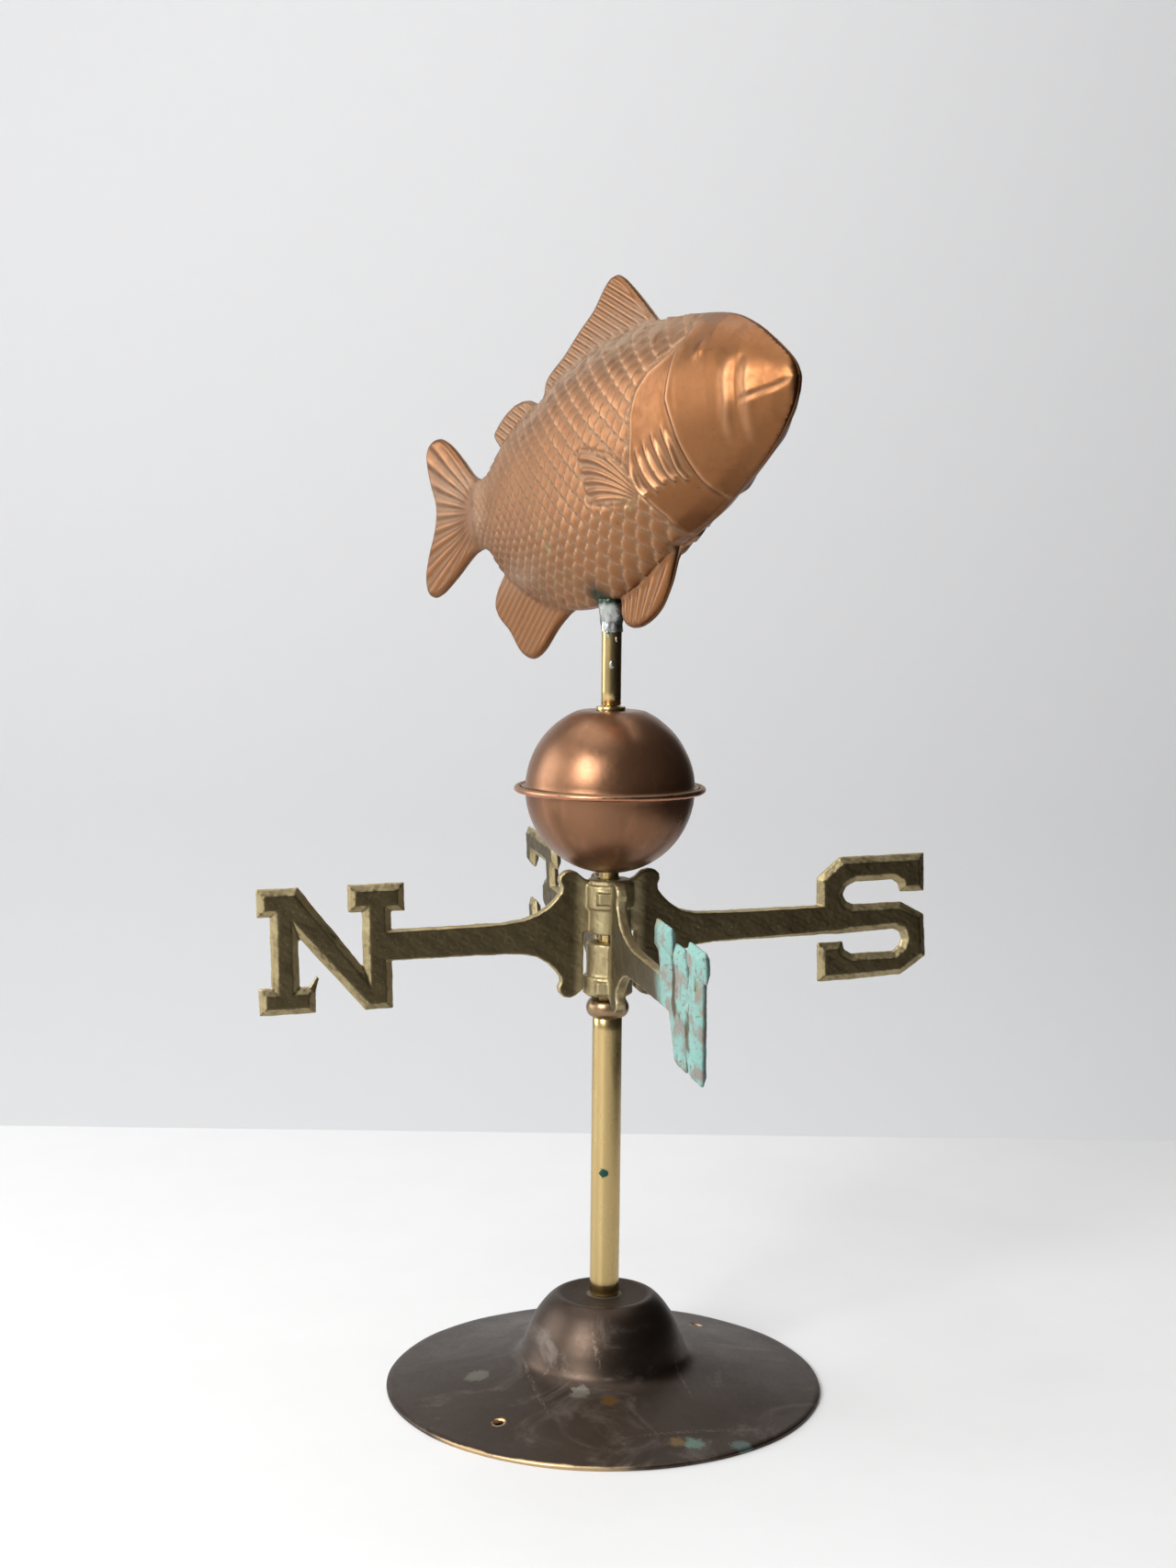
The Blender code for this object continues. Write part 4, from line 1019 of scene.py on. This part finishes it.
BELLY_ENTRY = (-9.0, -52.0)  # where the tube meets the belly
# Specks of verdigris, in the same frame
GREEN_PLACES = [(-34, -20), (-29, -28), (-33, -40), (-47, -39), (-21, -41), (32, -22)]


def line_height(line, along):
    stations = np.array(line)
    return np.interp(along, stations[:, 0], stations[:, 1])


def line_reach(line, up):
    """How far along a line lies at this height, for a line that only descends."""
    stations = np.array(line[::-1], float)
    return np.interp(up, stations[:, 1], stations[:, 0])


def line_distance(points, line):
    """Distance to an open line, and how far along the line the nearest point is (0 to 1)."""
    line = np.array(line, float)
    best, share = np.full(len(points), 1e9), np.zeros(len(points))
    for index in range(len(line) - 1):
        start, along = line[index], line[index + 1] - line[index]
        offset = points - start
        t = np.clip(offset @ along / (along @ along), 0, 1)
        distance = np.linalg.norm(offset - t[:, None] * along, axis=1)
        nearer = distance < best
        best = np.where(nearer, distance, best)
        share = np.where(nearer, (index + t) / (len(line) - 1), share)
    return best, share


def inside_outline(points, outline):
    start = np.array(outline, float)
    end = np.roll(start, -1, axis=0)
    inside = np.zeros(len(points), bool)
    for (x0, y0), (x1, y1) in zip(start, end):
        if y0 == y1:
            continue
        crosses = (y0 > points[:, 1]) != (y1 > points[:, 1])
        inside ^= crosses & (points[:, 0] < x0 + (points[:, 1] - y0) * (x1 - x0) / (y1 - y0))
    return inside


def smooth(value, low, high):
    t = np.clip((value - low) / (high - low), 0, 1)
    return t * t * (3 - 2 * t)


def hump(distance, width):
    return np.exp(-((distance / width) ** 2))


def body_share(points):
    """0 on the fish's middle line, 1 on its back and belly lines, more on the fins."""
    along, up = points[:, 0], points[:, 1]
    top, bottom = line_height(BACK_LINE, along), line_height(BELLY_LINE, along)
    return np.abs(2 * up - top - bottom) / (top - bottom)


def skin_height(points, distance):
    """How far the outside of one half stands from the middle plane."""
    across = np.clip(body_share(points), 0, 1)
    fullness = np.interp(points[:, 0], (10, 80), (0.60, 0.88))
    body = line_height(HALF_WIDTHS, points[:, 0]) * (1 - across**2.3) ** fullness
    rounding = 1 - np.clip(distance / FIN_ROUNDING, 0, 1)
    fin = FIN_HALF_THICKNESS * np.sqrt(1 - rounding**2)
    return np.cbrt(body**3 + fin**3)


def scale_pattern(points):
    """Overlapping pointed scales that shrink towards the tail: (lift, recess, rubbed edge with painted
    highlight).
    """
    along, up = points[:, 0], points[:, 1]
    stations = np.linspace(-125, 120, 491)
    sizes = np.interp(stations, (-100, -60, 10, 75), (0.56, 0.82, 1.0, 0.95))
    travelled = np.concatenate([[0], np.cumsum(0.5 / sizes[1:])])
    middle = (line_height(BACK_LINE, along) + line_height(BELLY_LINE, along)) / 2
    size = np.interp(along, stations, sizes)
    s = np.interp(along, stations, travelled)
    t = (up - middle) / size
    reach = 1.12 * SCALE_COLUMN
    first = np.floor(s / SCALE_COLUMN) + 3
    lift, recess, rubbed_and_highlit = np.zeros(len(s)), np.zeros(len(s)), np.zeros(len(s))
    found = np.zeros(len(s), bool)
    for back in range(6):
        column = first - back
        shift = np.mod(column, 2) * SCALE_ROW / 2
        across = (t - shift) / SCALE_ROW
        across = 2 * np.abs(across - np.round(across))
        slope = 4.0 * reach / SCALE_ROW * across
        edge = (s - column * SCALE_COLUMN + reach * (1 - across**2)) / np.sqrt(1 + slope**2)
        here = (edge >= 0) & ~found
        from_tip = s - column * SCALE_COLUMN + reach
        plate = np.clip(1 - from_tip / (2.3 * SCALE_COLUMN), 0, 1)
        lift = np.where(here, 0.05 + 0.80 * plate + 0.42 * (1 - across**2), lift)
        # Lighter along each scale's free edge: rubbed metal together with a painted highlight.
        rubbed_and_highlit = np.where(here, np.exp(-edge / 0.7) * 0.95 + 0.15 * plate, rubbed_and_highlit)
        recess = np.where(~here & ~found, np.maximum(recess, np.exp(edge / 0.62)), recess)
        found |= here
    return lift * size, recess, rubbed_and_highlit


def fin_rays(points):
    """Rays of every fin as (lift, groove), before they fade out over the body."""
    along, up = points[:, 0], points[:, 1]
    dorsal = 0.56 * along + 0.83 * up
    anal = 0.62 * along - 0.785 * up
    pelvic = np.arctan2(up - PELVIC_TIP[1], along - PELVIC_TIP[0]) * 33
    spread = np.arctan2(up - TAIL_ROOT[1], TAIL_ROOT[0] - along)
    phase = np.where(up > 0, dorsal / 3.3, np.where(along < -30, anal / 3.4, pelvic / 4.6))
    phase = np.where(along < TAIL_START, spread / 0.155, phase)
    wave = np.cos(math.tau * phase)
    lift = np.where(wave > 0, wave, wave * 0.8)
    fade = np.where(along < TAIL_START, smooth(np.hypot(along + 94, up + 1.5), 12, 24), 1.0)
    lobes = 1 - 0.75 * smooth(np.abs(spread), 0.72, 0.98)
    fade = fade * np.where(along < TAIL_START, lobes, 1.0)
    return lift * fade, np.clip(-wave, 0, 1) * fade


def head_relief(points):
    """The gill cover, cheek, gill ridges, snout and mouth: (lift, recess, rubbed crests with painted
    highlight).
    """
    up = points[:, 1]
    gill, _ = line_distance(points, GILL_COVER)
    gill *= np.sign(points[:, 0] - line_reach(GILL_COVER, up))
    cheek, _ = line_distance(points, CHEEK)
    cheek *= np.sign(points[:, 0] - line_reach(CHEEK, up))
    lift = 0.95 * smooth(gill, -0.5, 0.5) * np.exp(-np.clip(gill, 0, None) / 30)
    lift += 0.30 * hump(gill - 0.9, 0.9)
    step = smooth(cheek, -1.0, 1.0) * np.exp(-np.clip(cheek, 0, None) / 26)
    below = smooth(up, -33, -27)
    lift += below * (0.85 * step + 0.45 * hump(cheek - 1.4, 1.6) - 0.30 * hump(cheek + 1.8, 1.6))
    recess = 0.6 * hump(gill + 0.6, 0.8) + 0.12 * hump(cheek + 1.4, 1.0) * below
    # The lighter marks on the gill cover, cheek, gill ridges and snout fold crests are rubbed metal together
    # with a painted highlight.
    rubbed_and_highlit = 0.7 * hump(gill - 0.8, 0.7) + 0.8 * hump(cheek - 0.9, 0.8) * below
    for number, ridge in enumerate(GILL_RIDGES):
        distance, share = line_distance(points, smooth_stretch(ridge, 4) + [ridge[-1]])
        strength, width = (1.25, 1.25) if number == len(GILL_RIDGES) - 1 else (1.0, 1.05)
        taper = smooth(share, 0.0, 0.35) * smooth(share, 1.0, 0.86) * strength
        lift += taper * (1.25 * hump(distance, width) - 0.30 * hump(distance - 2.1, 0.9))
        recess = np.maximum(recess, 0.45 * taper * hump(distance - 2.1, 0.8))
        rubbed_and_highlit = np.maximum(rubbed_and_highlit, taper * hump(distance, 0.8))
    fold, share = line_distance(points, smooth_stretch(SNOUT_FOLD, 4) + [SNOUT_FOLD[-1]])
    ends = smooth(share, 0.0, 0.22) * smooth(share, 1.0, 0.7)
    lift += ends * (0.50 * hump(fold - 4.2, 2.2) - 0.65 * hump(fold, 2.2))
    rubbed_and_highlit = np.maximum(rubbed_and_highlit, 0.35 * ends * hump(fold - 3.6, 1.5))
    mouth, share = line_distance(points, MOUTH)
    ends = smooth(share, 0.0, 0.15)
    lift += ends * (0.12 * hump(mouth - 1.8, 1.3) - 0.32 * hump(mouth, 1.0))
    recess = np.maximum(recess, 0.3 * ends * hump(mouth, 0.7))
    eye = np.hypot(points[:, 0] - 79.7, (up - 23) / 1.5)
    nose = np.hypot(points[:, 0] - 111.5, up - 8)
    lift += 0.85 * hump(eye, 1.9) + 0.35 * hump(nose, 3.2)
    return lift, recess, rubbed_and_highlit, gill


def pectoral_relief(points):
    """A fan of curved rays laid on the flank: (share, lift, recess)."""
    distance, _ = line_distance(points, PECTORAL + PECTORAL[:1])
    inside = inside_outline(points, PECTORAL)
    signed = np.where(inside, distance, -distance)
    along, up = points[:, 0] - 43.0, points[:, 1] + 27.0
    fan = np.arctan2(up, -along) + 0.0095 * np.hypot(along, up)
    wave = np.cos(math.tau * fan / 0.118)
    share = smooth(signed, -0.5, 0.5)
    border = 0.35 * hump(signed + 1.0, 0.9) * (1 - share)
    lift = share * (0.95 + 0.42 * wave * smooth(signed, 0.2, 1.6)) - border
    recess = share * 0.5 * np.clip(-wave, 0, 1) + 0.45 * hump(signed + 0.4, 0.8)
    return share, lift, recess


def fish_relief(points, distance):
    """Everything on the skin: (lift in mm, recess, rubbed edges with painted highlight, dust, green,
    tarnished patch with painted shade under the belly).
    """
    along, up = points[:, 0], points[:, 1]
    across = body_share(points)
    head_lift, head_recess, head_rubbed_and_highlit, gill = head_relief(points)
    pectoral, pectoral_lift, pectoral_recess = pectoral_relief(points)
    scale_lift, scale_recess, scale_rubbed_and_highlit = scale_pattern(points)
    on_body = smooth(across, 1.07, 0.97) * smooth(along, -104, -97)
    scaled = on_body * smooth(gill, -0.3, -1.2) * (1 - pectoral)
    finned = np.where(along < TAIL_START, smooth(along, -95, -101), smooth(across, 0.99, 1.08))
    finned = finned * smooth(distance, 0.9, 3.0)
    ray_lift, ray_groove = fin_rays(points)
    tips = smooth(distance, 0.6, 6.0)
    lift = scaled * SCALE_LIFT * scale_lift + finned * 0.42 * ray_lift
    lift += tips * head_lift + pectoral_lift * on_body
    recess = np.maximum(scaled * scale_recess, finned * 0.42 * ray_groove)
    recess = np.maximum(recess, np.maximum(head_recess, pectoral_recess * on_body))
    # Lighter marks on crests, edges and the pectoral fin: rubbed metal together with a painted highlight.
    rubbed_and_highlit = np.maximum(head_rubbed_and_highlit, finned * 0.35 * np.clip(ray_lift, 0, 1))
    rubbed_and_highlit = np.maximum(scaled * scale_rubbed_and_highlit, rubbed_and_highlit)
    rubbed_and_highlit = np.maximum(rubbed_and_highlit, pectoral * 0.35)
    from_back = np.clip(line_height(BACK_LINE, along) - up, -30, None)
    dust = 0.85 * hump(from_back - 3, 9.0) * smooth(along, 74, 40) * smooth(along, -90, -30)
    dust = np.maximum(dust, 0.45 * hump(np.hypot(along + 98, (up + 3) * 0.8), 12))
    dust = np.maximum(dust, 0.45 * hump(from_back, 14) * smooth(along, 90, 60))
    dust = np.maximum(dust, 0.55 * hump(up + 34, 6) * hump(along + 66, 22))
    # Dark patch round the tube's entry under the belly: tarnished copper together with painted shade.
    entry = np.hypot(along - BELLY_ENTRY[0], up - BELLY_ENTRY[1])
    green = np.zeros(len(points))
    for place_at in GREEN_PLACES:
        spot = np.hypot(along - place_at[0], up - place_at[1])
        green = np.maximum(green, hump(spot, 3.4))
    return lift, recess, rubbed_and_highlit, dust, green, 1.25 * hump(entry, 5.5)


def fish_plan():
    """The flat plan of one half: points, triangles, number of rim points and edge distances."""
    outline = [point for stretch in FISH_STRETCHES for point in smooth_stretch(stretch, 8)]
    low, high = np.min(outline, axis=0), np.max(outline, axis=0)
    step = FISH_MESH_STEP
    row_step = step * math.sqrt(3) / 2
    columns = np.arange(int((high[0] - low[0]) / step) + 1) * step + low[0]
    rows = [
        np.column_stack(
            [columns + step * (row % 2) / 2, np.full(len(columns), low[1] + row_step * row)]
        )
        for row in range(int((high[1] - low[1]) / row_step) + 1)
    ]
    grid = np.vstack(rows)
    grid = grid[inside_outline(grid, outline)]
    distance, _ = line_distance(grid, outline + outline[:1])
    keep = distance > 0.55 * step
    grid, distance = grid[keep], distance[keep]
    points = np.vstack([np.array(outline), grid])
    loop = list(range(len(outline)))
    edges = [(index, (index + 1) % len(loop)) for index in loop]
    flat_points = [Vector(point) for point in points]
    _, _, faces, origins, _, _ = delaunay_2d_cdt(flat_points, edges, [loop], 1, 1e-6)
    origin = [found[0] for found in origins]
    triangles = [[origin[index] for index in face] for face in faces]
    return points, triangles, len(outline), np.concatenate([np.zeros(len(outline)), distance])


def fish_half(name, side, plan, relief):
    points, triangles, rim, distance = plan
    lift, *looks = relief
    height = skin_height(points, distance)
    height[:rim] = 0
    base = np.column_stack([points[:, 0], side * (height + SEAM), points[:, 1]]) * MM
    lip = base[:rim].copy()
    ahead = np.roll(points[:rim], -1, axis=0) - np.roll(points[:rim], 1, axis=0)
    inward = np.column_stack([-ahead[:, 1], ahead[:, 0]]) / np.linalg.norm(ahead, axis=1)[:, None]
    inner_side = 1.0 if inside_outline(points[:1] + inward[:1] * 0.3, points[:rim])[0] else -1.0
    lip[:, [0, 2]] += inward * inner_side * LIP_WIDTH * MM
    faces = [face if side < 0 else face[::-1] for face in triangles]
    count = len(points)
    for index in range(rim):
        after = (index + 1) % rim
        quad = [index, after, count + after, count + index]
        faces.append(quad if (side < 0) == (inner_side < 0) else quad[::-1])
    mesh = bpy.data.meshes.new(name)
    mesh.from_pydata(np.vstack([base, lip]).tolist(), [], faces)
    mesh.update()
    flank = points @ np.array([[1, 0, 0], [0, 0, 1.0]]) + [0, side * 40, 0]
    dents = 0.16 * ripple(flank, 24.0, 51)
    push = np.zeros(count + rim)
    push[rim:count] = ((lift + dents) * MM * smooth(distance, 0.0, 1.6))[rim:]
    set_coordinates(mesh, coordinates(mesh) + normals(mesh) * push[:, None])
    padding = np.zeros(rim)
    for key, values in zip(("recess", "rubbed_and_highlit", "dust", "green", "tarnish_and_shade"), looks):
        store(mesh, key, np.concatenate([np.clip(values, 0, 1), padding]))
    mesh.shade_smooth()
    heading = Matrix.Rotation(math.radians(FISH_HEADING), 4, "Z")
    pitch = Matrix.Rotation(-math.radians(FISH_PITCH), 4, "Y")
    mesh.transform(Matrix.Translation((0, 0, FISH_HEIGHT * MM)) @ (heading @ pitch))
    return link(name, mesh)


def make_fish():
    plan = fish_plan()
    relief = fish_relief(plan[0], plan[3])
    copper = copper_of_fish("stamped_copper")
    halves = (("fish_left_skin", 1, "fish_left_half"), ("fish_right_skin", -1, "fish_right_half"))
    for name, side, node in halves:
        place(fish_half(name, side, plan, relief), "vane", node, copper)


# ---------------------------------------------------------------- light, floor and camera


def area_light(name, location, target, size, power, colour):
    data = bpy.data.lights.new(name, "AREA")
    data.shape = "RECTANGLE"
    data.size, data.size_y = size
    data.energy = power
    data.color = colour
    lamp = link(name, data)
    lamp.location = location
    lamp.rotation_mode = "QUATERNION"
    lamp.rotation_quaternion = (Vector(target) - Vector(location)).to_track_quat("-Z", "Y")


def stage_material(name, colour, roughness, mottle):
    paint = Paint(name, 0.0)
    dark, darkest = (tuple(value * (1 - share * mottle) for value in colour) for share in (1, 3))
    shade = paint.blend(paint.steps(paint.noise(38.0, 3.0), 0.35, 0.65), dark, colour)
    shade = paint.tint(shade, darkest, paint.noise(5.0, 2.0), 0.66, 0.74, 0.35)
    return paint.finish(shade, roughness)


def make_stage(camera_angle):
    """A pale table top with a rounded far edge, in front of a plain grey cove."""
    size = (TABLE_DEPTH, TABLE_WIDTH, TABLE_THICKNESS)
    middle = (TABLE_FAR_EDGE - size[0] / 2, TABLE_RIGHT_EDGE + size[1] / 2, -size[2] / 2)
    top = bmesh.new()
    bmesh.ops.create_cube(top, size=1.0)
    bmesh.ops.scale(top, vec=size, verts=top.verts)
    bmesh.ops.bevel(top, geom=top.edges[:], offset=6, segments=5, affect="EDGES")
    bmesh.ops.translate(top, vec=middle, verts=top.verts)
    table = mesh_object("table_top", top)
    table.data.materials.append(stage_material("table_white", (0.72, 0.717, 0.716), 0.55, 0.012))
    profile = [(COVE_START, -COVE_RADIUS), (COVE_BEND, -COVE_RADIUS)]
    for angle in np.linspace(0.1, math.pi / 2, 14):
        across, down = COVE_RADIUS * math.sin(angle), COVE_RADIUS * math.cos(angle)
        profile.append((COVE_BEND + across, -down))
    profile.append((COVE_BEND + COVE_RADIUS, COVE_TOP))
    cove = bmesh.new()
    rows = [[cove.verts.new((x, y, z)) for y in COVE_SIDES] for x, z in profile]
    for first, second in zip(rows, rows[1:]):
        cove.faces.new((first[0], second[0], second[1], first[1]))
    backdrop = mesh_object("grey_cove", cove)
    backdrop.data.materials.append(stage_material("cove_grey", (0.86, 0.86, 0.865), 0.8, 0.004))
    for piece in (table, backdrop):
        piece.rotation_euler.z = camera_angle + math.pi


def make_world(left):
    """Even daylight that is bright on the window side and dim on the other."""
    world = bpy.data.worlds.new("daylight")
    bpy.context.scene.world = world
    world.use_nodes = True
    tree = world.node_tree
    where = tree.nodes.new("ShaderNodeTexCoord")
    dot = tree.nodes.new("ShaderNodeVectorMath")
    dot.operation = "DOT_PRODUCT"
    dot.inputs[1].default_value = left
    ramp = tree.nodes.new("ShaderNodeValToRGB")
    stops = ramp.color_ramp.elements  # these are at 0 and 1 from the start
    stops[0].color, stops[1].color = WORLD_DIM, WORLD_BRIGHT
    stops.new(0.5).color = WORLD_MIDDLE
    scale = tree.nodes.new("ShaderNodeMapRange")
    scale.inputs[1].default_value = -1.0
    tree.links.new(where.outputs["Generated"], dot.inputs[0])
    tree.links.new(dot.outputs["Value"], scale.inputs[0])
    tree.links.new(scale.outputs[0], ramp.inputs[0])
    tree.links.new(ramp.outputs[0], tree.nodes["Background"].inputs["Color"])
    tree.nodes["Background"].inputs["Strength"].default_value = WORLD_STRENGTH


def make_camera():
    data = bpy.data.cameras.new("camera")
    data.lens = CAMERA_LENS
    data.sensor_width = 36.0
    data.sensor_fit = "AUTO"
    data.clip_start, data.clip_end = 0.01, 30
    camera = link("camera", data)
    camera.location = CAMERA_PLACE
    turn = Matrix.Rotation(math.radians(CAMERA_TURN), 4, "Z")
    tilt = Matrix.Rotation(math.radians(90.0 - CAMERA_DROP), 4, "X")
    roll = Matrix.Rotation(CAMERA_ROLL, 4, "Z")
    camera.rotation_mode = "QUATERNION"
    camera.rotation_quaternion = (turn @ tilt @ roll).to_quaternion()
    bpy.context.scene.camera = camera


def light_scene(angle):
    """Lights round the camera's side of the object; angle points from the object to the camera."""
    toward = Vector((math.cos(angle), math.sin(angle), 0))
    left = Vector((math.sin(angle), -math.cos(angle), 0))
    up = Vector((0, 0, 1))
    window = toward * 1.3 + left * 0.98 + up * 1.12
    side = left * 1.9 - toward * 0.25 + up * 0.75
    lamps = (
        ("window", window, (0.8, 1.0), 36, (1.0, 0.99, 0.975)),
        ("side_window", side, (1.2, 1.2), 19, (0.98, 0.99, 1.0)),
        ("ceiling", (0.3, 0.1, 2.3), (2.0, 2.0), 24, (1.0, 1.0, 1.0)),
    )
    for name, location, size, power, colour in lamps:
        area_light(name, location, LIT_POINT, size, power, colour)
    make_world((left * 0.93 + up * 0.37).normalized())


def finish_hidden_parts(brass, steel):
    """The fastenings and bearing parts keep their own shapes and take a fuller finish."""
    for finish, nodes in ((brass, BRASS_FITTINGS), (steel, STEEL_FITTINGS)):
        for node in nodes:
            coat(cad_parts[node], finish)


def main():
    bpy.context.scene.view_settings.view_transform = "Standard"
    angle = math.radians(CAMERA_ANGLE)
    facing = math.degrees(angle)
    make_camera()
    light_scene(angle)
    make_stage(angle)
    stain = polar(6.0, facing - 8, 90.0)[:]
    stem_brass = drawn_brass("stem_brass", [(stain, 1.9)])
    vane_brass = drawn_brass("vane_brass")
    make_foot()
    make_tube("stem_sleeve", "stem_tube", "spindle", ROD_BORE, stem_brass)
    make_tube("vane_pipe", "vane_tube", "vane", 2.8, vane_brass)
    make_bead()
    make_globe()
    make_bush(vane_brass)
    make_castings(facing)
    make_solder(facing)
    make_fish()
    finish_hidden_parts(vane_brass, plain_steel("plain_steel"))


main()
